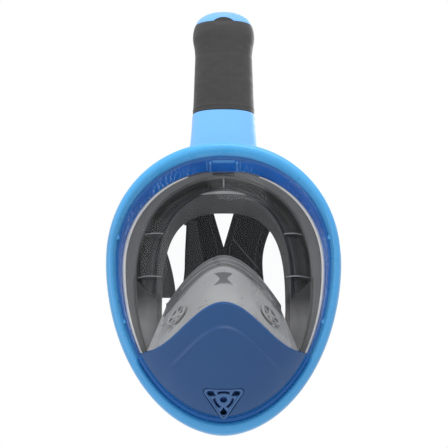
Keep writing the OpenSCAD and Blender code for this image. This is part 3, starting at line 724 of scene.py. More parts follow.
def chin_cover():
    """The cover runs in rays from the drain's window out to the cover's outline."""
    axis = np.array([0, -math.cos(math.radians(DRAIN_LEAN)), -math.sin(math.radians(DRAIN_LEAN))])
    outline, window = lens_outline(12.5, 0.4, 130, 90, False), grille_outline(0.35)
    window = np.concatenate([mix(window, np.roll(window, -1, 0), k) for k in np.arange(12) / 12])
    flat = on_drain([[x, y, 0] for x, y in window])
    hub = np.array([0, DRAIN_Z])

    def polar(points):
        d = points - hub
        angle = np.arctan2(d[:, 1], d[:, 0])
        order = np.argsort(angle)
        return angle[order], np.linalg.norm(d, axis=1)[order]

    near, far = polar(flat[:, [0, 2]]), polar(outline)
    angles = np.sort(np.concatenate([near[0], far[0], stations(80) - math.pi]))
    angles = angles[np.concatenate([[True], np.diff(angles) > 1e-4])]
    ray = np.stack([np.cos(angles), np.sin(angles)], -1)

    def ring(curve):
        return hub + ray * np.interp(angles, *curve, period=TAU)[:, None]

    inner_edge, outer = ring(near), ring(far)
    on_arc = outer[:, 1] < chin_z(outer[:, 0]) - 0.8

    def raised(p):
        """Height of the lower panel, which stands proud below a crease parallel to the chin line."""
        x, z = p[:, 0], p[:, 1]
        crease = -70.5 - 30 * bell(x / 54)
        fade = 1 - ease(np.abs(x), 36, 47)
        lip = 0.5 * np.exp(-(((z - crease + 2.2) / 1.6) ** 2)) * fade
        return 1.1 * ease(crease - z, -1.8, 1.8) * fade + lip

    def surface(p, k):
        edge = 1.3 * ease(k, 0.965, 1.0) ** 2
        return on_dome(p, -2.2 - raised(p) * (1 - ease(k, 0.86, 0.98)) + 1.4 * edge)

    # the window's edge, moved along the drain's axis up to the surface
    floor_y = on_dome(hub, 0)[1] + (inner_edge[:, 1] - DRAIN_Z) / math.tan(math.radians(90 + DRAIN_LEAN))
    floor = np.stack([inner_edge[:, 0], floor_y, inner_edge[:, 1]], -1)
    height = np.zeros(len(floor))
    for _ in range(8):
        p = floor + height[:, None] * axis
        height += (surface(p[:, [0, 2]], 0) - p) @ axis
    p = floor + height[:, None] * axis
    mouth = p[:, [0, 2]]
    rows = [floor - 1.5 * axis, p - 0.7 * axis]
    levels = np.concatenate([[0.008, 0.03], 1 - (1 - np.linspace(0.06, 1, 64)) ** 1.35])
    rows += [surface(mix(mouth, outer, k), k) for k in levels]

    def edge_row(inset, y, depth):
        points = mix(outer, hub, inset / 60)
        return np.where(on_arc[:, None], at(points, y), on_dome(points, depth))

    rows += [edge_row(0, LENS_Y - 6, -0.6), edge_row(0, LENS_Y - 2, -0.3), edge_row(0.8, LENS_Y - 1.8, 0.0),
             edge_row(1.6, LENS_Y - 3.6, 0.2)]
    rows += [on_dome(mix(inner_edge, mix(outer, hub, 0.03), k), -0.2) for k in levels[::-3]]
    # the edge rows are painted a brighter blue: painted light along the edge next to the frame
    tint = [1 if 64 <= k < 71 else 0 for k in range(len(rows)) for _ in angles]
    shell = grid(np.array(rows), close_u=True, close_v=True, mat=tint)
    obj = make("chin_cover_shell", [shell], [NAVY, EDGE_BLUE], sharp=40)
    return stand_in(obj, "root", "navy", "chin_cover")


def apply_modifiers(obj):
    graph = bpy.context.evaluated_depsgraph_get()
    mesh = bpy.data.meshes.new_from_object(obj.evaluated_get(graph), preserve_all_data_layers=True,
                                           depsgraph=graph)
    obj.modifiers.clear()
    obj.data = mesh


def flat_shape(name, outlines, thick, bevel):
    """A plate with rounded edges from closed outlines, the first its edge and the others its holes."""
    curve = bpy.data.curves.new(name, "CURVE")
    curve.dimensions, curve.fill_mode = "2D", "BOTH"
    curve.extrude, curve.bevel_depth, curve.bevel_resolution = thick / 2 - bevel, bevel, 3
    curve.offset = -bevel
    for outline in outlines:
        path = curve.splines.new("POLY")
        path.points.add(len(outline) - 1)
        path.use_cyclic_u = True
        for point, (x, y) in zip(path.points, outline):
            point.co = (x, y, 0, 1)
    obj = add_object(name, curve)
    graph = bpy.context.evaluated_depsgraph_get()
    mesh = bpy.data.meshes.new_from_object(obj.evaluated_get(graph), depsgraph=graph)
    bpy.data.objects.remove(obj)
    points = np.array([v.co for v in mesh.vertices])
    faces = [list(f.vertices) for f in mesh.polygons]
    bpy.data.meshes.remove(mesh)
    return points, faces, 0, None


def drain_grille():
    holes = [circle(2.7, 32)]
    for a in np.radians([30, 150, 270]):
        out, side = np.array([math.cos(a), math.sin(a)]), np.array([-math.sin(a), math.cos(a)])
        # a teardrop in each corner, its point towards the middle
        drop = [out * (11.4 + 2.5 * math.cos(s)) + side * 2.5 * math.sin(s)
                for s in np.linspace(-2.2, 2.2, 22)]
        holes.append([*drop, out * 6.6])
        # a bowed slot along the side across from it
        mid, half = -out, 4.6
        bow = lambda s, d: mid * (6.5 + d - 0.9 * (s / half) ** 2) + side * s
        run = np.linspace(-half, half, 15)
        holes.append([*[bow(s, 1.0) for s in run], *[bow(s, -1.0) for s in run[::-1]]])
    plate = flat_shape("grille", [grille_outline(-0.1), *holes], 2.0, 0.45)
    # a raised border round the plate
    border = tube([[x, y, 1.15] for x, y in grille_outline(-0.75)], 0.8, closed=True)
    parts = [placed(part, on_drain) for part in (plate, border)]
    obj = make("drain_grille_plate", parts, [NAVY_EDGE], sharp=40)
    return stand_in(obj, "root", "navy", "drain_grille")


# ---------- silicone face skirt ----------
def skirt_profile(t):
    """Rows of the skirt from the bezel's bead to the face and back.

    Each row is a share of the way and a depth for every station t."""
    side = np.abs(np.cos(t)) ** 0.8
    start, end = mix(0.15, 0.34, side), mix(0.44, 0.88, side)
    p = opening(t, 0)
    # the deep channel round the eyes ends in a slanting step at each cheek
    line = -23.4 - np.minimum(12, 0.8 * (np.abs(p[:, 0]) - 46))
    deep = ease(p[:, 1], line - 2.5, line + 2.5)
    rows = []
    for s, y in ((0.0, -16.7), (0.03, -17.6), (0.08, -18.0), (0.13, -17.7), (0.2, -16.6), (0.3, -14.6)):
        rows.append((s * start / 0.34 if s > 0.1 else np.full_like(t, s), np.full_like(t, y)))
    crest = mix(-16.0, -14.2, side)
    flat = lambda f: mix(crest, -5.0, f)
    for f, y in ((0.0, None), (0.05, -11.5), (0.12, -6.2), (0.22, -3.4), (0.42, -2.0), (0.6, -2.4),
                 (0.76, -4.6), (0.86, -7.6), (0.94, -9.0), (1.0, -9.4)):
        share = mix(start, end, f)
        rows.append((share, mix(flat(share), crest if y is None else np.full_like(t, y), deep)))
    for f, y in ((0.12, -9.0), (0.35, -7.2), (0.62, -4.2), (0.85, -1.4), (0.96, 0.0)):
        share = mix(end, 1.0, f)
        rows.append((share, mix(mix(crest, -1.0, share ** 1.5), np.full_like(t, y), deep)))
    one = np.ones_like(t)
    for s, y in ((1.0, 0.9), (0.985, 2.0), (0.93, 3.0), (0.72, 5.4), (0.5, 8.0), (0.45, 8.2), (0.41, 7.4),
                 (0.45, 6.4), (0.66, 3.6), (0.88, 0.6)):
        rows.append((s * one, y * one))
    for f, y in ((0.75, -5.0), (0.3, -0.4), (0.0, -2.4), (-0.16, -9.5)):
        share = mix(start, end, f)
        rows.append((share, mix(flat(share) + 3.4, np.full_like(t, y), deep)))
    rows += [(0.1 * one, -14.2 * one)]
    return rows


def skirt_point(t, share, y):
    return at(mix(bezel_rear(t, 1), opening(t, 0), np.asarray(share)[..., None]), y)


def face_skirt():
    t = stations(FRAME_STEPS)
    shares, depths = zip(*skirt_profile(t))
    control = np.stack([np.array(shares), np.array(depths)], -1)
    smooth_rows = np.stack([spline(control[:, k], 132) for k in range(len(t))], 1)
    rows = [at(rim(t, FLANGE_INSET), -16.7)]
    rows += [skirt_point(t, r[:, 0], r[:, 1]) for r in smooth_rows]
    rows += [at(rim(t, FLANGE_INSET), -13.8)]
    # the border next to the bezel is painted paler as lit, and the channel darker as painted shade
    painted_light_and_shade_rows = [3 if k < 27 else 4 if k < 55 else 0 for k in range(len(rows)) for _ in t]
    parts = [grid(np.array(rows), close_u=True, close_v=True, mat=painted_light_and_shade_rows)]

    def fin(x0, x1, z):
        """A level rib across the channel, with a paler crest: a painted highlight."""
        x = np.linspace(x0, x1, 14)
        arch = np.sin(np.linspace(0.08, 0.92, 14) * math.pi) ** 0.5
        for side in (-1, 1):
            p = np.stack([side * x, np.full(14, z)], -1)
            crest, foot_row = at(p, -3.0 - 8.5 * arch), at(p, -1.6)
            across = np.array([0, 0, 1.0])
            parts.append(grid(np.stack([foot_row + across * 0.8, crest + across * 0.55, crest - across * 0.55,
                                        foot_row - across * 0.8], 1), close_v=True, caps=True))
            parts.append(tube(crest - [0, 0.1, 0], 0.5, 8, mat=2))

    fin(49, 67, 29.5)
    fin(52, 71, -7.4)
    # the middle rib, painted pale as a highlight, and the two plain ones at the brow
    for x, high in ((0, -11.0), (-13, -8.5), (13, -8.5)):
        z = np.linspace(76.6, 70.8, 6)
        out = [[[x - 0.7, -2, v], [x - 0.6, high, v], [x + 0.6, high, v], [x + 0.7, -2, v]] for v in z]
        parts.append(grid(np.array(out), close_v=True, caps=True, mat=0 if x else 2))
    # the brow ledge: a thin arched step above the opening, painted pale as a highlight
    x = np.linspace(-19, 19, 40)
    ledge_z = 65.4 - 2.4 * (x / 19) ** 2
    taper = np.sqrt(np.clip(1.02 - (x / 19) ** 2, 0, 1))
    ledge_y = -11.4 * taper - 8.6 * (1 - taper)
    ledge = [[[v, -8.6, z - 1.7 * k], [v, y, z - 0.9 * k], [v, y, z], [v, -7.0, z + 0.7 * k]]
             for v, y, z, k in zip(x, ledge_y, ledge_z, taper)]
    parts.append(grid(np.array(ledge), close_v=True, caps=True, mat=2))
    # the small socket at the very top, where the duct meets the skirt, in the darker copy: painted shade
    notch = [[-9, 79.2], [9, 79.2], [9, 76.6], [-9, 76.6]]
    parts.append(block([[x, -18.6, z] for x, z in notch], [[x, -17.4, z] for x, z in notch], 4))
    # a near-white bead along both sides: a painted glint where the lens's edge catches the light
    for side in (-1, 1):
        run = np.radians(np.linspace(70, -42, 120))
        path = at(bezel_rear(run, 3.0), -18.2) * [side, 1, 1]
        fat = 0.35 + 1.25 * np.sin(np.linspace(0.03, 0.9, 120) * math.pi) ** 0.8
        parts.append(tube(path, fat, 8, mat=1))
    obj = make("face_skirt_moulding", parts, [SKIRT, LENS_GLINT_BEAD, SEAT_AND_HIGHLIGHT_GREY, SKIRT_LIT, SKIRT_SHADED], sharp=50)
    return stand_in(obj, "root", "skirt_silicone", "face_skirt")


# ---------- orinasal cup ----------
CUP_AXIS, CUP_SAG = np.array([0, 0, -58.0]), 6
VALVE_AT, VALVE_N = np.array([35.8, -42.3, -51.2]), unit([0.72, -0.5, 0.49])


def cup_lip(u):
    """The lip on the face at u in 0..1: an arch over the nose, then the jaw down to the chin."""
    x = 46 * (1 - 4 * np.minimum(u, 0.5))
    arch = np.stack([x, -22 + 18 * (np.abs(x) / 46) ** 1.5, 5.2 - 0.0293 * np.abs(x) ** 1.86], -1)
    t = TAU * u
    jaw = opening(t, -5)
    low = np.stack([jaw[:, 0], -4 + 4 * np.sin(t), jaw[:, 1]], -1)
    return np.where((u < 0.5)[:, None], arch, low)


def cup_front(u, skin=6.3):
    x = 57 * (1 - 4 * np.minimum(u, 0.5))
    arch = np.stack([x, chin_z(x) - 4.5], -1)
    jaw = math.radians(40.5)
    low = rim(math.pi + jaw + (2 * np.maximum(u, 0.5) - 1) * (math.pi - 2 * jaw), 19, LENS_Y)
    return on_dome(np.where((u < 0.5)[:, None], arch, low), skin)


def cup_point(u, s, out):
    """A point on the cup's wall, a share s of the way from the lip to the front, moved outwards by out."""
    q = mix(cup_lip(u), cup_front(u), np.broadcast_to(s, u.shape)[:, None])
    q[:, 2] -= np.where(u < 0.5, CUP_SAG * np.sin(math.pi * np.asarray(s)) * np.sin(TAU * u), 0)
    away = q - CUP_AXIS
    away[:, 1] = 0
    return q + np.asarray(out)[..., None] * unit(away)


def orinasal_cup():
    u = np.arange(240) / 240
    crown = np.where(u < 0.5, np.sin(TAU * u), 0) ** 2
    levels = np.linspace(0.0, 1.0, 44)
    # where the front lobe starts, a share of the way from the lip
    start = 0.15 + 0.09 * (1 - crown)

    def relief(s):
        """The front lobe stands proud of the band behind it, and the lip is rolled."""
        lobe = 1.5 * ease(s, start - 0.03, start + 0.05) * crown
        roll = 1.1 * math.exp(-((s - 0.02) / 0.035) ** 2)
        groove = -0.5 * math.exp(-((s - 0.1) / 0.03) ** 2)
        return lobe + roll + groove * crown

    rows = [cup_point(u, s, relief(s) * np.ones_like(u)) for s in levels]
    rows += [cup_point(u, s, -1.6 * np.ones_like(u)) for s in levels[::-1]]
    # the band behind the front lobe is smokier
    tint = [3 if min(k, 87 - k) / 43 < start[n] and n < 120 else 0 for k in range(88) for n in range(240)]
    points, faces, tint, _ = grid(np.array(rows), close_u=True, close_v=True, mat=tint)

    def in_bore(face):
        """Whether a face lies in the bore of an inhale valve."""
        gap = points[face].mean(0)
        gap = np.array([abs(gap[0]), gap[1], gap[2]]) - VALVE_AT
        rise = gap @ VALVE_N
        return abs(rise) < 6 and np.linalg.norm(gap - rise * VALVE_N) < 8.7

    kept = [k for k, face in enumerate(faces) if not in_bore(face)]
    parts = [(points, [faces[k] for k in kept], [tint[k] for k in kept], None)]
    # the rolled edge of the lip
    parts.append(tube(cup_point(u, 0.004, -0.6 * np.ones_like(u)), 1.35, 12, closed=True, mat=1))
    # a pale bead along the front lobe's edge: a painted highlight
    arch = np.linspace(0.07, 0.43, 90)
    bead = cup_point(arch, 0.17 + 0.09 * (1 - np.sin(TAU * arch) ** 2), 1.0 + 0 * arch)
    parts.append(tube(bead, 0.6 * np.sin(np.linspace(0.05, 0.95, 90) * math.pi) ** 0.4, 8, mat=2))
    # two pale lines on the band: painted highlights
    for s in (0.045, 0.1):
        parts.append(tube(cup_point(arch, s, 0.3 + 0 * arch), 0.35, 6, mat=2))
    # a darker waisted patch on the nose: painted shade of the nose hollow seen through the silicone
    mark = []
    for k in np.linspace(0, 1, 9):
        half = 0.013 + 0.021 * abs(2 * k - 1) ** 1.2
        row_u = 0.25 + np.linspace(-half, half, 9)
        top, low = [cup_point(row_u, 0.26 + 0.18 * k, (1.5 * crown[60] + out) * np.ones(9))
                    for out in (0.55, -0.4)]
        mark.append(np.concatenate([top, low[::-1]]))
    parts.append(grid(np.array(mark), close_v=True, caps=True, mat=3))
    obj = make("orinasal_cup_moulding", parts, [CUP, CUP_LIP, SEAT_AND_HIGHLIGHT_GREY, CUP_BAND], sharp=50)
    return stand_in(obj, "root", "cup_silicone", "orinasal_cup")


def on_valve(points, side):
    """Moves points from an inhale valve's own frame, whose Z is its axis, to its seat in the cup."""
    b = math.atan2(VALVE_N[1], VALVE_N[0])
    a = math.acos(VALVE_N[2])
    p = np.array(points, float)
    x, z = p[:, 0] * math.cos(a) + p[:, 2] * math.sin(a), p[:, 2] * math.cos(a) - p[:, 0] * math.sin(a)
    y = p[:, 1]
    turned = np.stack([x * math.cos(b) - y * math.sin(b), x * math.sin(b) + y * math.cos(b), z], -1)
    return (turned + VALVE_AT) * [side, 1, 1]


def inhale_seat(side, name):
    """A rim with six spokes and a hub, each rounded over."""
    holes = []
    for a in np.radians(60 * np.arange(6)):
        out, across = np.array([math.cos(a), math.sin(a)]), np.array([-math.sin(a), math.cos(a)])
        corners = [out * 2.9, out * 7.7 - across * 3.6, out * 8.6 - across * 1.2, out * 8.6 + across * 1.2,
                   out * 7.7 + across * 3.6]
        holes.append(rounded(corners, 0.5, 4))
    plate = placed(flat_shape(name, [circle(9.95, 64), *holes], 1.3, 0.35), lambda p: p + [0, 0, 1.55])
    edge = tube([[x, y, 2.3] for x, y in circle(9.3, 64)], 0.75, closed=True)
    dome = [[[x, y, z] for x, y in circle(r, 24)] for r, z in ((2.4, 1.8), (2.3, 2.6), (1.5, 3.1))]
    hub = poles([0, 0, 1.8], np.array(dome), [0, 0, 3.2])
    parts = [placed(part, lambda p: on_valve(p, side)) for part in (plate, edge, hub)]
    obj = make(name + "_spokes", parts, [SEAT_AND_HIGHLIGHT_GREY], sharp=40)
    return stand_in(obj, "root", "cup_silicone", name)


def inhale_membrane(side, name):
    """The thin dark disc that closes the seat from inside, with its stem."""
    parts = [placed(tube([[0, 0, low], [0, 0, high]], radius, 48), lambda p: on_valve(p, side))
             for low, high, radius in ((0.35, 0.75, 8.6), (-2.2, 0.4, 1.2))]
    obj = make(name + "_disc", parts, [VALVE], sharp=40)
    return stand_in(obj, name, "valve_silicone", name)


# ---------- snorkel ----------
def axis_y(rise):
    return BASE_Y + rise * math.tan(LEAN)


def oval(w, d, rise, n=144, lift=None):
    t = stations(n)
    c, s = spow(np.cos(t), 2 / OVAL_POWER), spow(np.sin(t), 2 / OVAL_POWER)
    extra = 0 if lift is None else lift(w * c, s)
    return np.stack([w * c, axis_y(rise) + (d + extra) * s, np.full(n, float(BASE_Z + rise))], -1)


def foot(w, d, n=144):
    t = stations(n)
    x, y = w * spow(np.cos(t), 2 / OVAL_POWER), -27.5 + d * spow(np.sin(t), 2 / OVAL_POWER)
    top = FRAME_UP * (1 - (np.abs(x) / FRAME_A) ** UP_POWER) ** (1 / UP_POWER)
    return np.stack([x, y, top - 2.1 - 0.165 * (y + 31)], -1)


def snorkel_neck():
    outside = [(29.2, 15.6, 12), (28.6, 16.3, 18), (28.3, 16.3, 24), (28.0, 16.2, 30), (27.7, 16.1, 38),
               (27.5, 16.0, 46), (27.4, 15.95, 54), (27.35, 15.95, 58.6), (27.1, 15.75, 59.6),
               (26.6, 15.2, 60.0), (25.4, 14.1, 60.0), (24.85, 13.55, 59.6), (24.7, 13.4, 58.8),
               (24.7, 13.4, 40), (24.7, 13.4, 22), (20.5, 9.4, 22)]
    walls = [oval(*q) for q in outside]
    base = foot(29.8, 9.5)
    first = [base, mix(base, walls[0], 0.35), mix(base, walls[0], 0.7)]
    rows = np.array([foot(18.6, 6), *first, *walls][::-1])
    obj = make("snorkel_neck_moulding", [grid(rows, close_u=True, close_v=True)], [NECK_BLUE], sharp=40)
    return stand_in(obj, "root", "frame_blue", "snorkel_neck")


def snorkel_tube():
    outline = spline([(26.9, 15.9, 60.4), (27.0, 15.8, 62), (26.9, 15.7, 70), (26.8, 15.6, 84),
                      (26.8, 15.6, 100), (26.8, 15.5, 122), (26.8, 15.5, 144), (27.15, 15.75, 153),
                      (27.8, 16.2, 160.5), (28.8, 16.9, 168), (29.5, 17.4, 174), (29.7, 17.6, 179),
                      (29.5, 17.4, 185), (28.9, 16.9, 191), (28.1, 16.3, 195.4)], 110)

    def strip(rise):
        """A flat band stands proud up the middle of the front and rear, between two fine grooves."""
        fade = ease(rise, 72, 78) * (1 - ease(rise, 184, 194))

        def lift(x, s):
            a = np.abs(x)
            band = 0.55 * (1 - ease(a, 6.4, 7.4))
            groove = -0.5 * np.exp(-(((a - 8.4) / 0.55) ** 2)) * (1 - ease(rise, 120, 135))
            return (band + groove) * fade * (np.abs(s) > 0.3)

        return lift

    rows = [oval(24.3, 13, 24.1), oval(24.3, 13, 60.1), oval(26.2, 15.2, 60.2)]
    for w, d, rise in outline:
        # two moulded steps round the lower half
        ring = 0.35 * math.exp(-((rise - 67) / 0.8) ** 2) - 0.3 * math.exp(-((rise - 96) / 0.7) ** 2)
        ring -= 0.3 * math.exp(-((rise - 145) / 0.8) ** 2)
        rows.append(oval(w + ring, d + ring, rise, lift=strip(rise)))
    inside = [(27.4, 15.6, CAP_RISE), (25.6, 13.8, CAP_RISE), (27, 15, 187), (27.2, 15.2, 179), (27, 15, 170),
              (24.6, 13.2, 152), (24.4, 13, 66), (22, 10.7, 60.3), (22, 10.7, 24.1)]
    rows += [oval(*q) for q in inside]
    parts = [grid(np.array(rows), close_u=True, close_v=True)]
    # the tongue that locks the front of the cap
    a = np.linspace(0, math.pi, 17)
    face_y = lambda z: axis_y(z) - 15.9
    front = [[11 * math.cos(k), face_y(195.2 + 6.4 * math.sin(k) ** 1.6) - 0.35,
              BASE_Z + 193.6 + 8 * math.sin(k) ** 1.6] for k in a]
    back = [[x * 0.96, y + 2.6, z - 0.2] for x, y, z in front]
    tongue = [[[0, face_y(194) - 0.35, BASE_Z + 193]] * 17, front, back]
    parts.append(grid(np.array(tongue, float), close_v=True))
    obj = make("snorkel_tube_moulding", parts, [DARK], sharp=38)
    # the water slots in the back of the head
    slot = rounded([[-3.5, -4.5], [3.5, -4.5], [3.5, 4.5], [-3.5, 4.5]], 1.4, 5)
    for x in (-12, 0, 12):
        rows = np.array([[[x + px, axis_y(SLOT_RISE) + y, BASE_Z + SLOT_RISE + pz] for px, pz in slot]
                         for y in (9, 26)])
        cutter = make("cutter", [grid(rows, close_v=True, caps=True)], [DARK])
        cut = obj.modifiers.new("slot", "BOOLEAN")
        cut.operation, cut.solver, cut.object = "DIFFERENCE", "EXACT", cutter
        apply_modifiers(obj)
        bpy.data.objects.remove(cutter)
    obj.data.set_sharp_from_angle(angle=math.radians(38))
    return stand_in(obj, "snorkel", "snorkel_grey", "snorkel_tube")


def top_cap():
    a = np.radians(np.linspace(0, 86, 26))

    def dome(w, d, power, base, height):
        """Ovals that close over towards the top, from the widest up."""
        return [(w * math.cos(k) ** power, d * math.cos(k) ** power, CAP_RISE + base + height * math.sin(k))
                for k in a]

    skirt = [(26.9, 15.1, CAP_RISE), (25.7, 13.9, CAP_RISE), (25.7, 13.9, CAP_RISE - 7),
             (23.7, 12, CAP_RISE - 7)]
    sections = dome(27.35, 15.6, 1.25, 0.1, 25.7)[::-1] + skirt + dome(23.4, 11.8, 1.3, 1.2, 21.8)
    rows = np.array([oval(*q) for q in sections])
    first, last = [[0, axis_y(rise), BASE_Z + rise] for rise in (RISE - 0.2, RISE - 2.8)]
    obj = make("top_cap_dome", [poles(first, rows, last)], [CAP_BLUE], sharp=38)
    return stand_in(obj, "snorkel", "cap_blue", "top_cap")


# ---------- strap hardware ----------
def out_angle(t):
    p = rim(np.array([t]), LUG_INSET)[0]
    up = math.sin(t) >= 0
    n, b = (UP_POWER, FRAME_UP) if up else (DOWN_POWER, FRAME_DOWN)
    return math.atan2(float(spow(p[1] / b, n - 1)) / b, float(spow(p[0] / FRAME_A, n - 1)) / FRAME_A)


def at_lug(points, t, side):
    """Moves points from a lug's frame: x out of the outline, y to the back and z along the outline."""
    a = out_angle(t)
    p = np.array(points, float)
    turned = np.stack([p[:, 0] * math.cos(a) - p[:, 2] * math.sin(a), p[:, 1],
                       p[:, 0] * math.sin(a) + p[:, 2] * math.cos(a)], -1)
    return (turned + at(rim(np.array([t]), LUG_INSET), LUG_Y)[0]) * [side, 1, 1]


def strap_section():
    """A strap's cross-section with round edges, as (across, up) pairs."""
    flat, r = STRAP_W / 2 - STRAP_T / 2, STRAP_T / 2
    edge = [[flat + r * math.cos(a), r * math.sin(a)] for a in np.linspace(-math.pi / 2, math.pi / 2, 7)]
    top = [[x, r] for x in np.linspace(flat, -flat, 12)[1:-1]]
    return np.array([*edge, *top, *[[-x, -y] for x, y in edge + top]])


def webbing_along(path, across, up, run, **ends):
    """A strap along a path, with UVs in millimetres for its weave."""
    section = strap_section()
    rows = path[:, None] + section[None, :, :1] * across[:, None] + section[None, :, 1:] * up[:, None]
    uv = np.stack(np.broadcast_arrays(section[None, :, 0], run[:, None]), -1)
    return grid(rows, close_v=True, uv=uv, **ends)


def sewn_strap(path, across, up, insets, pitch, radius, tacks, reach):
    """A strap with selvedge threads along both edges and bar tacks across it."""
    parts = [webbing_along(path, across, up, run_along(path), caps=True)]
    for edge in (-1, 1):
        for face in (-1, 1):
            for inset in insets:
                line = path + edge * across * (STRAP_W / 2 - inset) + face * up * (STRAP_T / 2 + 0.02)
                parts += stitches(line[1:-1], pitch, 2.3, radius, mat=1)
    for k in tacks:
        for face in (-1, 1):
            centre = path[k] + face * up[k] * (STRAP_T / 2 + 0.02)
            tack = [centre + across[k] * v for v in np.linspace(-reach, reach, 7)]
            parts += stitches(tack, 2.4, 1.8, 0.3, mat=1)
    return parts


def strap_loop(t, side, name):
    """The webbing's end, folded round the clip's rear bar and sewn."""
    r_out = 3.7 - STRAP_T / 2
    y0, y1 = 19.4, 24.2
    a = np.linspace(-math.pi / 2, math.pi / 2, 12)
    front = [[r_out * math.sin(k), y0 - math.cos(k), 0] for k in a]
    back = [[-r_out * math.sin(k), y1, 0] for k in a]
    path = np.array([*front, *back])
    ahead = unit(np.roll(path, -1, 0) - np.roll(path, 1, 0))
    up = np.stack([ahead[:, 1], -ahead[:, 0], ahead[:, 2]], -1)
    across = np.tile([0, 0, 1.0], (len(path), 1))
    part = webbing_along(path, across, up, np.arange(len(path)) * 0.6, close_u=True)
    obj = make(name + "_webbing", [placed(part, lambda p: at_lug(p, t, side))], [WEBBING], sharp=60)
    return stand_in(obj, name.replace("loop", "clip"), "webbing", name)


# ---------- head harness ----------
def bezier(p, s):
    p = np.array(p, float)
    s = np.asarray(s)[:, None]
    r = 1 - s
    return r**3 * p[0] + 3 * s * r**2 * p[1] + 3 * s**2 * r * p[2] + s**3 * p[3]


def ribbon_frames(route, s):
    """A ribbon's centre, across and up directions at the shares s of its route."""
    points, w0, w1 = route
    ahead = unit(bezier(points, np.minimum(1, s + 0.01)) - bezier(points, np.maximum(0, s - 0.01)))
    w = mix(np.array(w0, float), np.array(w1, float), s[:, None])
    across = unit(w - (w * ahead).sum(1)[:, None] * ahead)
    return bezier(points, s), across, np.cross(ahead, across)


def pad_y(x, z):
    return HARNESS_BACK - 8 * (x / 45) ** 2 - 9 * ((z - 24) / 54) ** 2


def on_pad(x, z, depth, side=1):
    """Points at a depth in the pad; side mirrors them."""
    return np.stack([side * x, pad_y(x, z) + depth, z], -1)


def pad_inner(z):
    return -0.5 + 0.3 * np.maximum(0, np.maximum(z - 42, -6 - z))


def pad_outer(z, side=1):
    if side > 0:
        flare = 8.4 * (np.minimum(31, np.maximum(0, z - 28)) / 32) ** 2
    else:
        flare = -1.5 * ease(z, 28, PAD_TOP)
    return 34 + flare + 1.2 * (np.maximum(0, 28 - z) / 18) ** 2


def arm_route(upper, side):
    root_x, root_z = (24, 66) if upper else (27, -20)
    root = np.array([root_x, pad_y(root_x, root_z) + PAD_T + 0.8 + STRAP_T / 2, root_z])
    t = LUG_ANGLE if upper else -LUG_ANGLE
    end = at(rim(np.array([t]), LUG_INSET), LUG_Y)[0] + [0, ARM_GAP, 0]
    a = out_angle(t)
    lean, pull, w0 = ([12, 0, 42], 54, [-1, 0.23, 0.2]) if upper else ([10, -9, -42], 46, [1, -0.22, 0.25])
    flip = np.array([side, 1, 1])
    points = np.array([root, root + lean, end + [0, pull, 0], end]) * flip
    return points, np.array(w0) * flip, np.array([-math.sin(a), 0, math.cos(a)]) * flip


def strap_arm(upper, side, name):
    path, across, up = ribbon_frames(arm_route(upper, side), np.linspace(0, 1, 90))
    parts = sewn_strap(path, across, up, (2.2,), 3.4, 0.28, (2, 5, 8), 9)
    obj = make(name + "_webbing", parts, [WEBBING, THREAD], sharp=60)
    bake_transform(obj)
    return stand_in(obj, None, "webbing", name)


def strap_tail():
    route = ([[-66, 36, 38], [-60, 42, 24], [-54, 38, 6], [-52.5, 33, -15]],
             [1, 0.1, 0.15], [0.93, 0.05, -0.42])
    path, across, up = ribbon_frames(route, np.linspace(0, 1, 60))
    parts = sewn_strap(path, across, up, (2.0, 3.6), 3.2, 0.26, (54, 57), 10)
    obj = make("strap_tail_webbing", parts, [TAIL_WEB, THREAD], sharp=60)
    return stand_in(obj, "root", "webbing", "strap_tail")


def two_faces(x, front, back, z):
    """Rows of a sheet: across its front face and back over its rear face."""
    return np.concatenate([np.stack([x, front, z], -1), np.stack([x, back, z], -1)[:, ::-1]], 1)


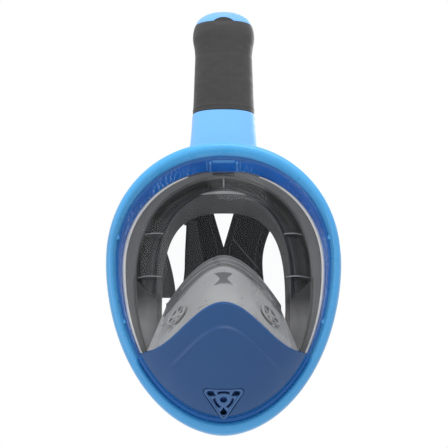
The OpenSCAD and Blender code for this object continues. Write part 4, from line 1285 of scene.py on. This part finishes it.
def harness_pad():
    """Two mirrored halves of knit-faced foam, bound at the edges and sewn down the middle."""
    z = np.linspace(PAD_TOP, PAD_LOW, 90)
    cols = np.linspace(0, 1, 30)
    parts = []

    def half(side):
        inner, outer = pad_inner(z), pad_outer(z, side)
        x = inner[:, None] + (outer - inner)[:, None] * cols[None]
        zz = np.broadcast_to(z[:, None], x.shape)
        y = pad_y(x, zz)
        # foam bulges between its seams and is pinched at its edges
        from_edge = np.minimum(cols, 1 - cols)[None] * (outer - inner)[:, None]
        from_end = np.minimum(PAD_TOP - zz, zz - PAD_LOW)
        puff = ease(np.minimum(from_edge, from_end), 0, 5)
        seam = np.exp(-(((from_edge - 6.0) / 0.7) ** 2)) * ease(from_end, 3, 8)
        front = y + 0.9 * (1 - puff) + 0.45 * seam
        back = y + PAD_T - 0.9 * (1 - puff) - 0.45 * seam
        # soft folds that run across the waist
        fold = 0.25 * np.sin(zz / 5.2 + x / 9) * np.exp(-(((zz - 18) / 16) ** 2))
        parts.append(grid(two_faces(side * x, front + fold, back + fold, zz), close_v=True, caps=True))

    for side in (-1, 1):
        half(side)
        for s_edge in (pad_inner(z) + 6.0, pad_outer(z, side) - 6.0):
            for depth in (0.35, PAD_T - 0.35):
                parts += stitches(on_pad(s_edge, z, depth, side)[4:-4], 3.4, 2.2, 0.27, mat=2)
        # a bound edge all round
        across = []
        for level in (z[0], z[-1]):
            x = np.linspace(pad_inner(level), pad_outer(level, side), 10)[1:-1]
            across.append(on_pad(x, np.full(8, level), PAD_T / 2, side))
        # the middle edge is bound 0.7 mm inside its own line
        inner = on_pad(pad_inner(z), z, PAD_T / 2, side) + [0.7 * side, 0, 0]
        outer = on_pad(pad_outer(z, side), z, PAD_T / 2, side)
        path = np.concatenate([inner, across[1], outer[::-1], across[0][::-1]])
        parts.append(tube(path, 0.8, 8, closed=True))
    # the paler lining down the left side, with its sewn edge
    zl = np.linspace(66, -24, 60)
    edge = np.interp(zl, [17, 29, 62], [-16.5, -17.4, -23.7])
    outer = -pad_outer(zl, -1) + 0.8
    x = outer[:, None] + (edge - outer)[:, None] * np.linspace(0, 1, 12)[None]
    zz = np.broadcast_to(zl[:, None], x.shape)
    y = pad_y(x, zz)
    parts.append(grid(two_faces(x, y - 1.3, y + 0.4, zz), close_v=True, caps=True, mat=1))
    parts += stitches(on_pad(edge - 1.2, zl, -1.35)[1:-1], 3.0, 2.1, 0.25, mat=2)
    # the slanting seam across the right side
    zs = np.linspace(51, 23.5, 30)
    xs = np.interp(zs, [23.5, 51], [30.6, 8.4])
    parts.append(tube(on_pad(xs, zs, -0.02), 0.35, 6, mat=2))
    obj = make("harness_pad_foam", parts, [NEOPRENE, LINING, THREAD], sharp=50)
    return stand_in(obj, "root", "neoprene", "harness_pad")


# ---------- building it ----------
frame_ring()
frame_rear_ring()
bezel()
lens()
chin_cover()
drain_grille()
face_skirt()
orinasal_cup()
for side, word in ((-1, "left"), (1, "right")):
    inhale_seat(side, "inhale_seat_" + word)
    inhale_membrane(side, "inhale_membrane_" + word)
    for upper, level in ((True, "upper"), (False, "lower")):
        angle = LUG_ANGLE if upper else -LUG_ANGLE
        strap_loop(angle, side, f"loop_{level}_{word}")
        strap_arm(upper, side, f"arm_{level}_{word}")
snorkel_neck()
snorkel_tube()
top_cap()
strap_tail()
harness_pad()


# ---------- floor, light and camera ----------
def studio():
    world = bpy.data.worlds.new("studio")
    bpy.context.scene.world = world
    world.use_nodes = True
    world.node_tree.nodes["Background"].inputs["Color"].default_value = (1, 1, 1, 1)
    world.node_tree.nodes["Background"].inputs["Strength"].default_value = 1.0
    floor_z, reach = -0.62, 6
    mesh = bpy.data.meshes.new("floor")
    corners = [(x * reach, y * reach, floor_z) for x, y in ((-1, -1), (1, -1), (1, 1), (-1, 1))]
    mesh.from_pydata(corners, [], [(0, 1, 2, 3)])
    floor = add_object("floor", mesh)
    t = Tree("floor_pale")
    t.colour(t.blend(t.ramp(t.noise(3, 3), 0.3, 0.7), (0.86, 0.86, 0.86), (0.9, 0.9, 0.9)))
    t.set(Roughness=0.7)
    mesh.materials.append(t.material)
    for name, place, size, power, aim in (
            ("key", (0.25, -0.75, 1.15), 0.9, 8.5, (0, 0, 0.05)),
            ("fill", (-1.2, -0.6, 0.25), 0.9, 4.0, (0, 0, 0)),
            ("rear", (0.6, 1.3, 0.9), 0.9, 5.0, (0, 0, 0.1))):
        data = bpy.data.lights.new(name, "AREA")
        data.shape, data.size, data.energy = "SQUARE", size, power
        lamp = add_object(name, data)
        lamp.location = place
        lamp.rotation_euler = (Vector(aim) - Vector(place)).to_track_quat("-Z", "Y").to_euler()


def camera():
    """Looks up at the mask from 16 degrees below and a metre away."""
    elevation = math.radians(-16)
    target = Vector((0, -0.052, -0.020))
    ahead = Vector((0, math.cos(elevation), -math.sin(elevation)))
    data = bpy.data.cameras.new("camera")
    data.sensor_width, data.lens = 36, 102.05
    data.shift_x, data.shift_y = 0.0009, 0.1152
    cam = add_object("camera", data)
    cam.location = target - ahead
    cam.rotation_euler = (math.radians(90) - elevation, 0, 0)
    bpy.context.scene.camera = cam


studio()
camera()
bpy.context.scene.view_settings.view_transform = "Standard"
